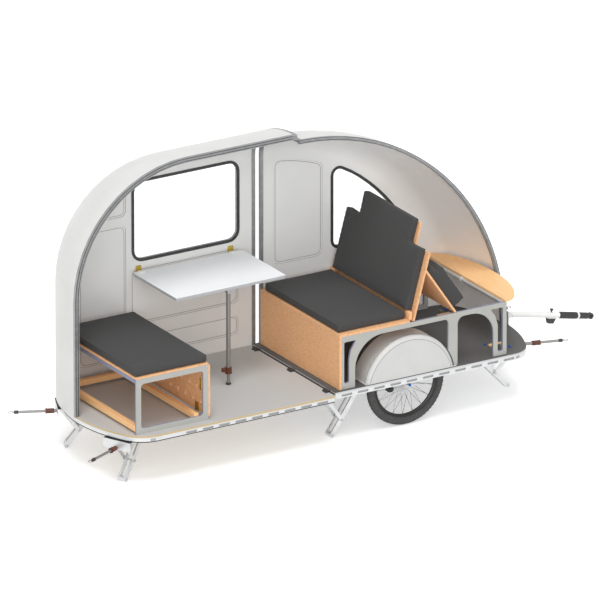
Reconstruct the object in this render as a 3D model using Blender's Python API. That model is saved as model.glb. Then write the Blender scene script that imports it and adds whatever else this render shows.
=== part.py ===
"""Bicycle camper trailer, unfolded for use, shown with the near half of its shell left off.

Metres, +Z up, +X towards the drawbar, the ground at z = 0. Stations along X are measured from
the seam between the two floor sections; the empty at the end of the tree of parents shifts them
so that the frame's origin is on the ground under the middle of the object's box.
"""

import bmesh
import bpy
from math import acos, asin, atan2, ceil, cos, pi, radians, sin, sqrt
from mathutils import Matrix, Vector

# Clearances
GAP = 0.0003            # between pieces that touch
PIN_GAP = 0.0005        # between an eye and the ears that hold it

# Floor sections
REAR_LENGTH = 1.488     # seam to the outermost point of the rear end
REAR_HALF_WIDTH = 0.500
REAR_FLOOR_TOP = 0.314
FRONT_HALF_WIDTH = 0.470
DECK_STEP = 0.012       # the front deck lies this much higher than the rear floor
BOARD = 0.012           # floor boards
SEAM_SPLIT = 0.006      # half of the slit between the two boards
RIM_HEIGHT = 0.030      # aluminium rim under the boards
RIM_WIDTH = 0.025
RIM_INSET = 0.002       # the rim stands back from the board's edge
SLOT_PITCH = 0.112      # lashing slots in the rim's sides
SLOT_LENGTH = 0.074
SLOT_HEIGHT = 0.014
SLOT_DEPTH = 0.005
REAR_BOW = 0.850        # the shallow bow of the ends and of the roof, across the width
REAR_CORNER = 0.200     # its rounded corners
FRONT_BOW = 0.870
FRONT_CORNER = 0.150

# Shells
WALL = 0.014
SHELL_LAP = 0.0175      # the rear shell reaches down outside the rear floor by this much
FLOOR_FIT = 0.0008      # between the rear floor's edge and the shell round it
PANEL_DEPTH = 0.0035    # moulded panels in the inner faces of the walls
PANEL_RADIUS = 0.035
REAR_ROOF = 1.788
REAR_ARC = 0.770
REAR_SHELL_END = 0.028  # the rear shell laps past the seam, outside the front deck
FRONT_ARC = 1.420       # the front shell is a quarter circle about the seam
FRONT_SHELL_START = 0.046
RAIL_WIDTH = 0.020      # joint rail on the centre line, half of it on each shell half
REAR_RAIL_DEPTH = 0.030
FRONT_RAIL_DEPTH = 0.022
REAR_HOOP_DEPTH = 0.024
FRONT_HOOP_DEPTH = 0.020
HOOP_WIDTH = 0.020

# Windows in the far side walls
SEAL = 0.018
PANE = 0.004
REAR_WINDOW = (-0.816, -0.077, 0.990, 1.505)
REAR_WINDOW_RADIUS = 0.075
FRONT_WINDOW_START = 0.534
FRONT_WINDOW_SILL = 0.822
FRONT_WINDOW_MARGIN = 0.056   # from the start of the roof's rounding
FRONT_WINDOW_RADIUS = 0.055

# Wheels
WHEEL_X = 0.533
WHEEL_Y = 0.390
TYRE_RADIUS = 0.262
TYRE_SECTION = 0.0245
RIM_DEPTH = 0.018
RIM_HALF = 0.0115
HUB_HALF = 0.038
HUB_RADIUS = 0.016
FLANGE_RADIUS = 0.027
AXLE_RADIUS = 0.0060
ROTOR_RADIUS = 0.070
SPOKES_A_SIDE = 18
SPOKE_RADIUS = 0.0011

# Wheel housings on the deck
HOUSING_RADIUS = 0.310
HOUSING_OUTER_Y = 0.455
HOUSING_INNER_Y = 0.300
HOUSING_EDGE = 0.025
HOUSING_WALL = 0.004
DECK_SLOT_MARGIN = 0.026

# Bench at the rear
BENCH_REAR = -1.330
BENCH_FRONT = -0.840
BENCH_HALF_WIDTH = 0.430
BENCH_FRAME = 0.012
BENCH_FRAME_TOP = 0.660
BENCH_MARGIN = 0.034
BENCH_BOARD = 0.010
CUSHION = 0.050
BENCH_OVERHANG = 0.008
BATTEN_WIDTH = 0.030
BATTEN_HEIGHT = 0.034
BATTEN_LIFT = 0.016
FLAP = 0.012
FLAP_HINGE_RADIUS = 0.006
HOLE_PITCH = 0.085
HOLE_RADIUS = 0.013

# Couch on the front section
SIDE_HALF_WIDTH = 0.449
SIDE_FRAME = 0.015
SIDE_FRAME_TOP = 0.656
PANEL = 0.015
SEAT_BOARD = 0.0137
SEAT_FRONT = 0.530
SEAT_CUSHION_HALF = 0.425
SEAT_CUSHION_FRONT = 0.500
SHORT_FRAME_END = 1.200
BACKREST_FOOT = (0.550, 0.660)
BACKREST_LEAN = 15.2
BACKREST_BOARD = 0.012
BACKREST_LOW = 0.073
BACKREST_STEP = 0.440
BACKREST_HIGH = 0.590
BACKREST_WIDE = 0.426
BACKREST_NARROW = 0.282
PROP_FOOT = 0.841
PROP_BOARD = 0.012
SPARE_LONG = 0.340
SPARE_SHORT = 0.270
SHELF_START = 1.190
SHELF_END = 1.385
SHELF_HALF_WIDTH = 0.4555
SHELF = 0.012
CROSS_TUBE_RADIUS = 0.012
CROSS_TUBE_X = 1.184

# Table
TABLE_REAR = -0.820
TABLE_LENGTH = 0.750
TABLE_DEPTH = 0.500
TABLE_FAR_EDGE = 0.466
TABLE_TOP = 0.938
TABLE_LEAF = 0.018
TABLE_LEG_RADIUS = 0.013
TABLE_FOOT_RADIUS = 0.0095
TABLE_BORE = 0.0103
TABLE_CLAMP_Z = 0.404
TABLE_PIVOT_DROP = 0.020
TABLE_PIVOT_RADIUS = 0.014

# Folding legs: station, lean from plumb (towards -X if negative), length to the foot, fold sense
# Each leg is two flat bars on one foot tube, braced to a guide under the floor.
LEG_PIVOT_Z = 0.2515
LEG_FOOT_RADIUS = 0.0155
LEG_BAR_HALF = 0.0145
LEG_BAR_IN = 0.0155
LEG_BAR_OUT = 0.0265
LEG_PIVOT_RADIUS = 0.010
EAR_IN = 0.0272
EAR_OUT = 0.0322
BRACE_IN = 0.0340
BRACE_OUT = 0.0380
BRACE_HALF_WIDTH = 0.011
BRACE_PIN = 0.0048
BRACE_BORE = 0.0053
GUIDE_HALF = 0.0330
GUIDE_HEIGHT = 0.006
# station: pivot x and |y|, way it leans in degrees from +X on the far side, lean from plumb,
# brace pin along the leg, guide's length beyond the pivot
LEGS = {"rear": (-1.196, 0.248, 155.3, 37.9, 0.178, 0.212),
        "mid": (0.209, 0.340, 180.0, 34.6, 0.180, 0.190),
        "front": (1.108, 0.340, 0.0, 43.5, 0.090, 0.262)}
FRONT_LEG_LENGTH = 0.225
FOOT_PLATE = (0.236, 0.240)   # hanging plate for the rear corner struts, along the guide
FOOT_PLATE_HALF = 0.095
FOOT_PLATE_LOW = 0.216

# Corner struts: start, end (x, y), turned parts along their length
STRUT_FRONT_DROP = 0.0103
STRUT_REAR_Z = 0.2285
STRUT_REAR_REACH = 0.4860     # tip of a rear strut, along the leg's guide
STRUT_FRONT = ((1.370, 0.225), (1.672, 0.312))
STRUT_TUBE = 0.0100
STRUT_ROD = 0.0080
STRUT_CLAMP = 0.0130

# Drawbar
DRAWBAR_PIVOT = (1.490, 0.374)
DRAWBAR_PITCH = 12.2
DRAWBAR_RADIUS = 0.018
DRAWBAR_EYE = 0.016
GRIP_START = 0.362
GRIP_END = 0.492
HEAD_END = 0.589
GRIP_RADIUS = 0.0205
BRACKET_PLATE = 0.008
BRACKET_HALF = 0.040

# What follows from those sizes
DECK_TOP = REAR_FLOOR_TOP + DECK_STEP
FRONT_LENGTH = FRONT_SHELL_START + FRONT_ARC
REAR_RIM_TOP = REAR_FLOOR_TOP - BOARD - GAP
FRONT_RIM_TOP = DECK_TOP - BOARD - GAP
REAR_RIM_BOTTOM = REAR_RIM_TOP - RIM_HEIGHT
FRONT_RIM_BOTTOM = FRONT_RIM_TOP - RIM_HEIGHT
BACK_TILT = radians(BACKREST_LEAN)
HEAD_TIP = HEAD_END + 0.019


def clear_scene():
    """Start from nothing."""
    for item in list(bpy.data.objects):
        bpy.data.objects.remove(item, do_unlink=True)


def material(name, colour, roughness, metallic=0.0):
    """A plain finish for one kind of piece."""
    made = bpy.data.materials.new(name)
    made.use_nodes = True
    shader = made.node_tree.nodes["Principled BSDF"]
    shader.inputs["Base Color"].default_value = (*colour, 1.0)
    shader.inputs["Roughness"].default_value = roughness
    shader.inputs["Metallic"].default_value = metallic
    made.diffuse_color = (*colour, 1.0)
    return made


clear_scene()
FINISH = {
    "shell": material("white_shell", (0.79, 0.79, 0.77), 0.35),
    "floor": material("grey_floor", (0.47, 0.47, 0.46), 0.6),
    "deck": material("dark_deck", (0.09, 0.09, 0.09), 0.7),
    "aluminium": material("aluminium", (0.66, 0.67, 0.69), 0.35, 0.9),
    "rubber": material("black_rubber", (0.02, 0.02, 0.02), 0.8),
    "glass": material("window_pane", (0.85, 0.9, 0.92), 0.05),
    "cushion": material("dark_cushion", (0.06, 0.06, 0.06), 0.9),
    "chipboard": material("chipboard", (0.66, 0.37, 0.17), 0.7),
    "wood": material("light_wood", (0.95, 0.58, 0.26), 0.6),
    "frame": material("grey_frame", (0.42, 0.43, 0.42), 0.5, 0.3),
    "table": material("table_laminate", (0.80, 0.81, 0.83), 0.4),
    "tyre": material("tyre", (0.05, 0.05, 0.05), 0.85),
    "black": material("black_plastic", (0.02, 0.02, 0.02), 0.45),
}

TRAILER = bpy.data.objects.new("trailer_frame", None)
bpy.context.scene.collection.objects.link(TRAILER)


def shift_along_x():
    """How far the seam lies from the middle of the object's box."""
    tip = DRAWBAR_PIVOT[0] + HEAD_TIP * cos(radians(DRAWBAR_PITCH))
    return -(tip + station_point("rear", 1, STRUT_REAR_REACH, STRUT_TUBE - 0.001).x) / 2


def station_point(station, side, along, across=0.0, z=0.0):
    """A point under the floor, along a leg's guide from its pivot."""
    x, y, heading = LEGS[station][:3]
    turn = radians(heading) * side
    return Vector((x + along * cos(turn) - across * sin(turn),
                   side * y + along * sin(turn) + across * cos(turn), z))


def in_station(solid, station, side, z=0.0):
    """Take a solid made about a leg's pivot, leaning towards +X, to where it stands."""
    turn = Matrix.Rotation(radians(LEGS[station][2]) * side, 4, "Z")
    place = Matrix.Translation(station_point(station, side, 0.0, 0.0, z)) @ turn
    bmesh.ops.transform(solid, matrix=place, verts=solid.verts)
    return solid


TRAILER.location = (shift_along_x(), 0.0, 0.0)


def node(name, solid, finish, pivot=(0.0, 0.0, 0.0), smooth=0.0):
    """Turn a bmesh in trailer coordinates into a named object with its origin at the pivot."""
    bmesh.ops.translate(solid, verts=solid.verts, vec=-Vector(pivot))
    mesh = bpy.data.meshes.new(name)
    solid.to_mesh(mesh)
    solid.free()
    mesh.materials.append(FINISH[finish])
    if smooth:
        mesh.shade_smooth()
        mesh.set_sharp_from_angle(angle=radians(smooth))
    item = bpy.data.objects.new(name, mesh)
    bpy.context.scene.collection.objects.link(item)
    item.parent = TRAILER
    item.location = pivot
    return item


def combined(first, second, operation):
    """A bmesh made from two by an exact Boolean; both of them are used up."""
    pair = []
    for solid in (first, second):
        mesh = bpy.data.meshes.new("boolean_operand")
        solid.to_mesh(mesh)
        solid.free()
        item = bpy.data.objects.new("boolean_operand", mesh)
        bpy.context.scene.collection.objects.link(item)
        pair.append(item)
    work = pair[0].modifiers.new("combine", "BOOLEAN")
    work.operation = operation
    work.solver = "EXACT"
    work.object = pair[1]
    bpy.context.view_layer.update()
    seen = pair[0].evaluated_get(bpy.context.evaluated_depsgraph_get())
    result = bmesh.new()
    result.from_mesh(seen.to_mesh())
    seen.to_mesh_clear()
    for item in pair:
        mesh = item.data
        bpy.data.objects.remove(item, do_unlink=True)
        bpy.data.meshes.remove(mesh)
    return result


def fused(*solids):
    """One body from several that run into each other."""
    whole = solids[0]
    for solid in solids[1:]:
        whole = combined(whole, solid, "UNION")
    return whole


def cut(solid, *cutters):
    """What is left of a solid."""
    for cutter in cutters:
        solid = combined(solid, cutter, "DIFFERENCE")
    return solid


def gathered(*solids):
    """Several bodies that don't touch, in one bmesh."""
    whole = bmesh.new()
    for solid in solids:
        mesh = bpy.data.meshes.new("gathered")
        solid.to_mesh(mesh)
        solid.free()
        whole.from_mesh(mesh)
        bpy.data.meshes.remove(mesh)
    return whole


PLACES = {
    "X": lambda a, b, depth: (depth, a, b),
    "Y": lambda a, b, depth: (a, depth, b),
    "Z": lambda a, b, depth: (a, b, depth),
}


def prism(outline, axis, low, high):
    """An outline in the plane across an axis, extruded from low to high along it."""
    place = PLACES[axis]
    solid = bmesh.new()
    ring = [solid.verts.new(place(a, b, low)) for a, b in outline]
    face = solid.faces.new(ring)
    grown = bmesh.ops.extrude_face_region(solid, geom=[face])
    moved = [item for item in grown["geom"] if isinstance(item, bmesh.types.BMVert)]
    bmesh.ops.translate(solid, verts=moved, vec=Vector(place(0, 0, high)) - Vector(place(0, 0, low)))
    bmesh.ops.recalc_face_normals(solid, faces=solid.faces)
    return solid


def block(x, y, z):
    """A rectangular piece between pairs of limits."""
    return prism([(x[0], z[0]), (x[1], z[0]), (x[1], z[1]), (x[0], z[1])], "Y", *y)


def arc(centre, radius, start, end, steps):
    """Points on a circle from one angle to another, in degrees."""
    angles = [radians(start + (end - start) * k / steps) for k in range(steps + 1)]
    return [(centre[0] + radius * cos(a), centre[1] + radius * sin(a)) for a in angles]


def rounded(corners, steps=5):
    """An outline from (a, b, radius) corners, given in order round it."""
    points = []
    for k, (a, b, radius) in enumerate(corners):
        if radius <= 0:
            points.append((a, b))
            continue
        here = Vector((a, b))
        back = (Vector(corners[k - 1][:2]) - here).normalized()
        ahead = (Vector(corners[(k + 1) % len(corners)][:2]) - here).normalized()
        half = acos(max(-1.0, min(1.0, back.dot(ahead)))) / 2
        centre = here + (back + ahead).normalized() * (radius / sin(half))
        first = here + back * (radius * cos(half) / sin(half)) - centre
        turn = pi - 2 * half
        sense = 1 if first.y * back.x - first.x * back.y > 0 else -1
        for step in range(steps + 1):
            angle = sense * turn * step / steps
            spoke = Matrix.Rotation(angle, 2) @ first
            points.append(tuple(centre + spoke))
    return points


def box_outline(low_a, high_a, low_b, high_b, radius, steps=5):
    """A rectangle with round corners."""
    return rounded([(low_a, low_b, radius), (high_a, low_b, radius),
                    (high_a, high_b, radius), (low_a, high_b, radius)], steps)


def turned(profile, start, end, steps=16):
    """A body of revolution: (distance, radius) pairs along the line from start to end."""
    start, end = Vector(start), Vector(end)
    along = (end - start).normalized()
    side = along.cross(Vector((0.0, 0.0, 1.0)))
    if side.length < 0.1:
        side = along.cross(Vector((1.0, 0.0, 0.0)))
    side.normalize()
    up = side.cross(along)
    solid = bmesh.new()
    rings = []
    for distance, radius in profile:
        centre = start + along * distance
        rings.append([solid.verts.new(centre + (side * cos(2 * pi * k / steps)
                                                + up * sin(2 * pi * k / steps)) * radius)
                      for k in range(steps)])
    closed = profile[0] == profile[-1]
    if closed:
        bmesh.ops.delete(solid, geom=rings.pop(), context="VERTS")
        rings.append(rings[0])
    for one, two in zip(rings, rings[1:]):
        for k in range(steps):
            m = (k + 1) % steps
            solid.faces.new((one[k], one[m], two[m], two[k]))
    if not closed:
        solid.faces.new(rings[0])
        solid.faces.new(rings[-1])
    bmesh.ops.recalc_face_normals(solid, faces=solid.faces)
    return solid


def rod(start, end, radius, steps=12):
    """A plain round bar."""
    length = (Vector(end) - Vector(start)).length
    return turned([(0.0, radius), (length, radius)], start, end, steps)


def cross_section(half_width, bow, corner, first_y=0.0, steps=8):
    """The bowed end, as (inset from the outermost point, y) from first_y to the straight side."""
    corner_y = half_width - corner
    turn = asin(corner_y / (bow - corner))
    corner_in = bow - (bow - corner) * cos(turn)
    start = asin(first_y / bow)
    points = []
    for k in range(steps):
        angle = start + (turn - start) * k / steps
        points.append((bow - bow * cos(angle), bow * sin(angle)))
    for k in range(steps + 1):
        angle = turn + (pi / 2 - turn) * k / steps
        points.append((corner_in - corner * cos(angle), corner_y + corner * sin(angle)))
    return points


REAR = (REAR_HALF_WIDTH, REAR_BOW, REAR_CORNER)
FRONT = (FRONT_HALF_WIDTH, FRONT_BOW, FRONT_CORNER)
REAR_FLOOR_INSET = WALL + FLOOR_FIT


def plan_outline(seam, length, shape, inset=0.0, steps=8):
    """A floor section seen from above, with its end at length (negative for the rear one)."""
    sense = 1 if length > 0 else -1
    half_width, bow, corner = shape
    section = cross_section(half_width - inset, bow - inset, corner - inset, 0.0, steps)
    side = [(length - sense * (inset + d), y) for d, y in section]
    outline = [(seam, -(half_width - inset))]
    outline += [(x, -y) for x, y in reversed(side)][:-1]
    outline += side
    outline.append((seam, half_width - inset))
    return outline


def rear_profile(inset=0.0, steps=12, foot=REAR_FLOOR_TOP + GAP):
    """Rear wall, arc and roof on the centre line, inset inwards: (x, z) from the foot up."""
    centre = (-REAR_LENGTH + REAR_ARC, REAR_ROOF - REAR_ARC)
    points = [(-REAR_LENGTH + inset, foot)]
    points += arc(centre, REAR_ARC - inset, 180, 90, steps)
    points.append((REAR_SHELL_END, REAR_ROOF - inset))
    return points


def front_profile(inset=0.0, steps=20):
    """The quarter circle of the front shell on the centre line, from the seam to the nose."""
    centre = (FRONT_SHELL_START, DECK_TOP + GAP)
    return arc(centre, FRONT_ARC - inset, 90, 0, steps)


def half_shell(profile, shape, corner, *cutters):
    """The far half of a shell: a bowed band along the profile and a flat side wall."""
    half_width = shape[0]
    section = cross_section(*shape, RAIL_WIDTH)
    solid = bmesh.new()
    columns = [[solid.verts.new((x, y, z)) for x, z in profile(inset)] for inset, y in section]
    for one, two in zip(columns, columns[1:]):
        for k in range(len(one) - 1):
            solid.faces.new((one[k], one[k + 1], two[k + 1], two[k]))
    wall = solid.faces.new(columns[-1] + [solid.verts.new((corner[0], half_width, corner[1]))])
    bmesh.ops.recalc_face_normals(solid, faces=solid.faces)
    if wall.normal.y < 0:
        bmesh.ops.reverse_faces(solid, faces=solid.faces)
    thick = thickened(solid, WALL)
    ends = sorted((corner[0], 3.0 if corner[0] > 0.04 else -3.0))
    room = block(ends, (RAIL_WIDTH, 1.0), (corner[1], 3.0))
    return cut(combined(thick, room, "INTERSECT"), *cutters)


def thickened(solid, wall):
    """Give an open sheet a wall on its inner side."""
    mesh = bpy.data.meshes.new("sheet")
    solid.to_mesh(mesh)
    solid.free()
    item = bpy.data.objects.new("sheet", mesh)
    bpy.context.scene.collection.objects.link(item)
    work = item.modifiers.new("wall", "SOLIDIFY")
    work.thickness = wall
    work.offset = -1.0
    work.use_even_offset = True
    bpy.context.view_layer.update()
    seen = item.evaluated_get(bpy.context.evaluated_depsgraph_get())
    result = bmesh.new()
    result.from_mesh(seen.to_mesh())
    seen.to_mesh_clear()
    bpy.data.objects.remove(item, do_unlink=True)
    bpy.data.meshes.remove(mesh)
    return result


def hoop(shape, top, floor, depth, low_x, high_x):
    """The profile round a shell's seam edge, from the floor up the wall and over to the middle."""
    half_width, bow, corner = shape
    outer = [(y, top - d) for d, y in cross_section(half_width, bow, corner, RAIL_WIDTH / 2)]
    inner = [(y, top - depth - d) for d, y in cross_section(
        half_width - depth, bow - depth, corner - depth, RAIL_WIDTH / 2)]
    outline = outer + [(half_width, floor), (half_width - depth, floor)] + inner[::-1]
    return prism(outline, "X", low_x, high_x)


def centre_rail(profile, depth, grooves):
    """The joint rail along the cut edge of a shell half, grooved along its open face."""
    rail = prism(profile(0.0) + profile(depth)[::-1], "Y", 0.0, RAIL_WIDTH - GAP)
    for start in grooves:
        groove = profile(start) + profile(start + 0.003)[::-1]
        rail = cut(rail, prism(groove, "Y", -0.01, 0.003))
    return rail


def wall_panel(outline, half_width):
    """A shallow moulded panel in the inner face of a side wall."""
    return prism(outline, "Y", half_width - WALL - 0.02, half_width - WALL + PANEL_DEPTH)


def rear_panels():
    """Four panels: two stacked behind the bench, one behind the table and one below it."""
    r = PANEL_RADIUS
    centre = (-REAR_LENGTH + REAR_ARC, REAR_ROOF - REAR_ARC)
    reach = REAR_ARC - (REAR_BOW - sqrt((REAR_BOW - REAR_CORNER) ** 2
                                        - (REAR_HALF_WIDTH - REAR_CORNER) ** 2)) - 0.040
    left, right = centre[0] - reach, -0.8535
    high_sill, low_head, low_sill = 1.292, 1.239, 0.396

    def on_arc(z):
        return centre[0] - sqrt(reach ** 2 - (z - centre[1]) ** 2)

    top = centre[1] + sqrt(reach ** 2 - (right - centre[0]) ** 2)
    sweep = [(on_arc(z), z, 0.0) for z in (high_sill + (top - high_sill) * k / 7 for k in range(6, 0, -1))]
    upper = rounded([(on_arc(high_sill), high_sill, 0.010), (right, high_sill, r), (right, top, 0.010)] + sweep)
    sweep = [(on_arc(z), z, 0.0) for z in (centre[1] + (low_head - centre[1]) * k / 6 for k in range(5, -1, -1))]
    lower = rounded([(left, low_sill, r), (right, low_sill, r), (right, low_head, r),
                     (on_arc(low_head), low_head, 0.010)] + sweep)
    behind_table = box_outline(-0.822, -0.085, 0.600, 0.952, r)
    below = box_outline(-0.822, -0.085, 0.400, 0.525, r)
    return [wall_panel(outline, REAR_HALF_WIDTH) for outline in (upper, lower, behind_table, below)]


def front_panel():
    """One panel beside the couch, its head curved like the roof."""
    r = PANEL_RADIUS
    centre, reach = (FRONT_SHELL_START, DECK_TOP + GAP), 1.140
    left, right, sill = 0.141, 0.478, 0.800
    high = acos((left - centre[0]) / reach)
    low = acos((right - centre[0]) / reach)
    sweep = [(centre[0] + reach * cos(a), centre[1] + reach * sin(a), 0.0)
             for a in (low + (high - low) * k / 6 for k in range(1, 6))]
    outline = ([(left, sill, r), (right, sill, r), (right, centre[1] + reach * sin(low), r)] + sweep
               + [(left, centre[1] + reach * sin(high), r)])
    return wall_panel(rounded(outline), FRONT_HALF_WIDTH)


def rear_window_outline(inset):
    left, right, sill, head = REAR_WINDOW
    return box_outline(left + inset, right - inset, sill + inset, head - inset,
                       REAR_WINDOW_RADIUS - inset)


def front_window_outline(inset):
    """A quarter-round window that follows the roof."""
    centre = Vector((FRONT_SHELL_START, DECK_TOP + GAP))
    corner_in = 0.204
    reach = FRONT_ARC - corner_in - FRONT_WINDOW_MARGIN - inset
    left, sill = FRONT_WINDOW_START + inset, FRONT_WINDOW_SILL + inset
    top = acos((left - centre.x) / reach)
    foot = asin((sill - centre.y) / reach)
    sweep = [(centre.x + reach * cos(a), centre.y + reach * sin(a), 0.0)
             for a in (foot + (top - foot) * k / 10 for k in range(1, 10))]
    round_off = FRONT_WINDOW_RADIUS - inset
    ends = [(centre.x + reach * cos(foot), sill, round_off),
            (left, centre.y + reach * sin(top), round_off)]
    return rounded([(left, sill, round_off), ends[0]] + sweep[1:-1] + [ends[1]])


def window_cutter(outline):
    return prism(outline(0.0), "Y", 0.40, 0.60)


def window_seal(outline, wall_y):
    """A rubber ring in the hole, a little proud on both faces of the wall."""
    proud = 0.004
    ring = prism(outline(GAP), "Y", wall_y - WALL - proud, wall_y + proud)
    hole = prism(outline(SEAL), "Y", wall_y - 0.1, wall_y + 0.1)
    return cut(ring, hole)


def window_pane(outline, wall_y):
    middle = wall_y - WALL / 2
    return prism(outline(SEAL + GAP), "Y", middle - PANE / 2, middle + PANE / 2)


# Floor sections

def guide(station, side, rim_top):
    """A flat guide under the board, with the pair of ears that hold a leg."""
    reach = LEGS[station][5]
    plate = block((-0.030, reach), (-GUIDE_HALF, GUIDE_HALF), (rim_top - GUIDE_HEIGHT, rim_top))
    low = LEG_PIVOT_Z
    outline = [(-0.020, rim_top - 0.002), (-0.016, low)]
    outline += arc((0.0, low), 0.0135, 190, 350, 6)
    outline += [(0.016, low), (0.020, rim_top - 0.002)]
    parts = [plate, prism(outline, "Y", -EAR_OUT, -EAR_IN), prism(outline, "Y", EAR_IN, EAR_OUT)]
    if station == "rear":
        plate_in, plate_out = FOOT_PLATE
        parts.append(block((plate_in - 0.030, plate_out), (-FOOT_PLATE_HALF, FOOT_PLATE_HALF),
                           (REAR_RIM_BOTTOM - 0.004, REAR_RIM_BOTTOM + 0.001)))
        parts.append(prism(box_outline(-FOOT_PLATE_HALF, FOOT_PLATE_HALF, FOOT_PLATE_LOW,
                                       REAR_RIM_BOTTOM, 0.010, 3), "X", plate_in, plate_out))
    return [in_station(part, station, side) for part in parts]


def rim(seam, length, shape, edge, top, slots):
    """The aluminium rim under a floor board, with a cross member at the seam and slotted sides."""
    sense = 1 if length > 0 else -1
    outer = plan_outline(seam, length, shape, edge + RIM_INSET)
    inner = plan_outline(seam + sense * RIM_WIDTH, length, shape, edge + RIM_INSET + RIM_WIDTH)
    ring = prism(outer, "Z", top - RIM_HEIGHT, top)
    ring = cut(ring, prism(inner, "Z", top - 2 * RIM_HEIGHT, top + RIM_HEIGHT))
    face = shape[0] - edge - RIM_INSET
    middle = top - RIM_HEIGHT / 2
    pockets = []
    for x in slots:
        outline = box_outline(x - SLOT_LENGTH / 2, x + SLOT_LENGTH / 2, middle - SLOT_HEIGHT / 2,
                              middle + SLOT_HEIGHT / 2, SLOT_HEIGHT / 2 - 0.001, 2)
        for side in (-1, 1):
            pockets.append(prism(outline, "Y", *sorted((side * (face - SLOT_DEPTH), side * (face + 0.01)))))
    return cut(ring, gathered(*pockets))


def drawbar_bracket():
    """A plate on the nose of the front rim, with an ear on each side of the drawbar's eye."""
    face = FRONT_LENGTH + GAP
    x, z = DRAWBAR_PIVOT
    parts = [block((face, face + BRACKET_PLATE), (-BRACKET_HALF, BRACKET_HALF),
                   (FRONT_RIM_BOTTOM, z + 0.030)),
             block((face - RIM_WIDTH / 2, face + BRACKET_PLATE / 2), (-BRACKET_HALF, BRACKET_HALF),
                   (FRONT_RIM_BOTTOM + 0.002, FRONT_RIM_TOP - 0.002))]
    ear_in = DRAWBAR_RADIUS + 0.002 + PIN_GAP
    for side in (-1, 1):
        ends = sorted((side * ear_in, side * (ear_in + 0.006)))
        outline = [(face + 0.002, z - 0.022), (face + 0.002, z + 0.022)]
        outline += arc((x, z), DRAWBAR_EYE, 80, -80, 8)
        parts.append(prism(outline, "Y", *ends))
    return parts


def build_floors():
    rear_board = prism(plan_outline(-SEAM_SPLIT, -REAR_LENGTH, REAR, REAR_FLOOR_INSET), "Z",
                       REAR_FLOOR_TOP - BOARD, REAR_FLOOR_TOP)
    node("rear_floor", rear_board, "floor")
    slots = [-0.090 - SLOT_PITCH * k for k in range(9)]
    rear_rim = rim(-SEAM_SPLIT, -REAR_LENGTH, REAR, REAR_FLOOR_INSET, REAR_RIM_TOP, slots)
    for side in (-1, 1):
        rear_rim = fused(rear_rim, *guide("rear", side, REAR_RIM_TOP))
    node("rear_rim", rear_rim, "aluminium")

    deck = prism(plan_outline(SEAM_SPLIT, FRONT_LENGTH, FRONT), "Z", DECK_TOP - BOARD, DECK_TOP)
    half_slot = sqrt(TYRE_RADIUS ** 2 - (DECK_TOP - BOARD - TYRE_RADIUS) ** 2) + DECK_SLOT_MARGIN
    for side in (-1, 1):
        ends = sorted((side * (HOUSING_INNER_Y + 0.018), side * (HOUSING_OUTER_Y - 0.010)))
        outline = box_outline(WHEEL_X - half_slot, WHEEL_X + half_slot, *ends, 0.012, 3)
        deck = cut(deck, prism(outline, "Z", DECK_TOP - 2 * BOARD, DECK_TOP + BOARD))
    node("front_deck", deck, "deck")
    slots = [0.085 + SLOT_PITCH * k for k in range(11)]
    front_rim = rim(SEAM_SPLIT, FRONT_LENGTH, FRONT, 0.0, FRONT_RIM_TOP, slots)
    for station in ("mid", "front"):
        for side in (-1, 1):
            front_rim = fused(front_rim, *guide(station, side, FRONT_RIM_TOP))
    node("front_rim", fused(front_rim, *drawbar_bracket()), "aluminium")

    knuckle = 0.0055
    pin_z = REAR_FLOOR_TOP
    hinge = rod((0, -0.455, pin_z), (0, 0.455, pin_z), knuckle, 12)
    for y in (-0.400, 0.0, 0.400):
        lug = rounded([(-0.032, pin_z + GAP, 0), (0.0, pin_z + GAP, 0), (0.0, pin_z + 0.013, 0.004),
                       (-0.032, pin_z + 0.010, 0.004)], 3)
        hinge = fused(hinge, prism(lug, "Y", y - 0.020, y + 0.020))
    node("seam_hinge", hinge, "black", smooth=40)


# Shell halves

def build_shells():
    foot = REAR_FLOOR_TOP - SHELL_LAP
    edge = REAR_SHELL_END - HOOP_WIDTH - GAP
    rear = half_shell(lambda inset: [(min(x, edge), z) for x, z in rear_profile(inset, foot=foot)],
                      REAR, (edge, foot), window_cutter(rear_window_outline), *rear_panels())
    node("rear_shell", rear, "shell", smooth=30)
    rear_frame = fused(
        centre_rail(rear_profile, REAR_RAIL_DEPTH, (0.008, 0.018)),
        hoop(REAR, REAR_ROOF, foot, REAR_HOOP_DEPTH, REAR_SHELL_END - HOOP_WIDTH, REAR_SHELL_END))
    node("rear_shell_frame", rear_frame, "aluminium", smooth=30)

    start = FRONT_SHELL_START + HOOP_WIDTH + GAP
    front = half_shell(lambda inset: from_station(front_profile(inset), start), FRONT,
                       (start, DECK_TOP + GAP), window_cutter(front_window_outline), front_panel())
    node("front_shell", front, "shell", smooth=30)
    front_frame = fused(
        centre_rail(front_profile, FRONT_RAIL_DEPTH, (0.009,)),
        hoop(FRONT, DECK_TOP + GAP + FRONT_ARC, DECK_TOP + GAP, FRONT_HOOP_DEPTH,
             FRONT_SHELL_START, FRONT_SHELL_START + HOOP_WIDTH))
    node("front_shell_frame", front_frame, "aluminium", smooth=30)

    for name, outline, half_width in (("rear", rear_window_outline, REAR_HALF_WIDTH),
                                      ("front", front_window_outline, FRONT_HALF_WIDTH)):
        node(name + "_window_seal", window_seal(outline, half_width), "rubber", smooth=30)
        node(name + "_window_pane", window_pane(outline, half_width), "glass")


def from_station(points, start):
    """The same points with the first one slid along the curve to start at a station."""
    first, second = points[0], points[1]
    share = (start - first[0]) / (second[0] - first[0])
    return [(start, first[1] + share * (second[1] - first[1]))] + points[1:]


# Wheels, their axles and housings

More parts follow.
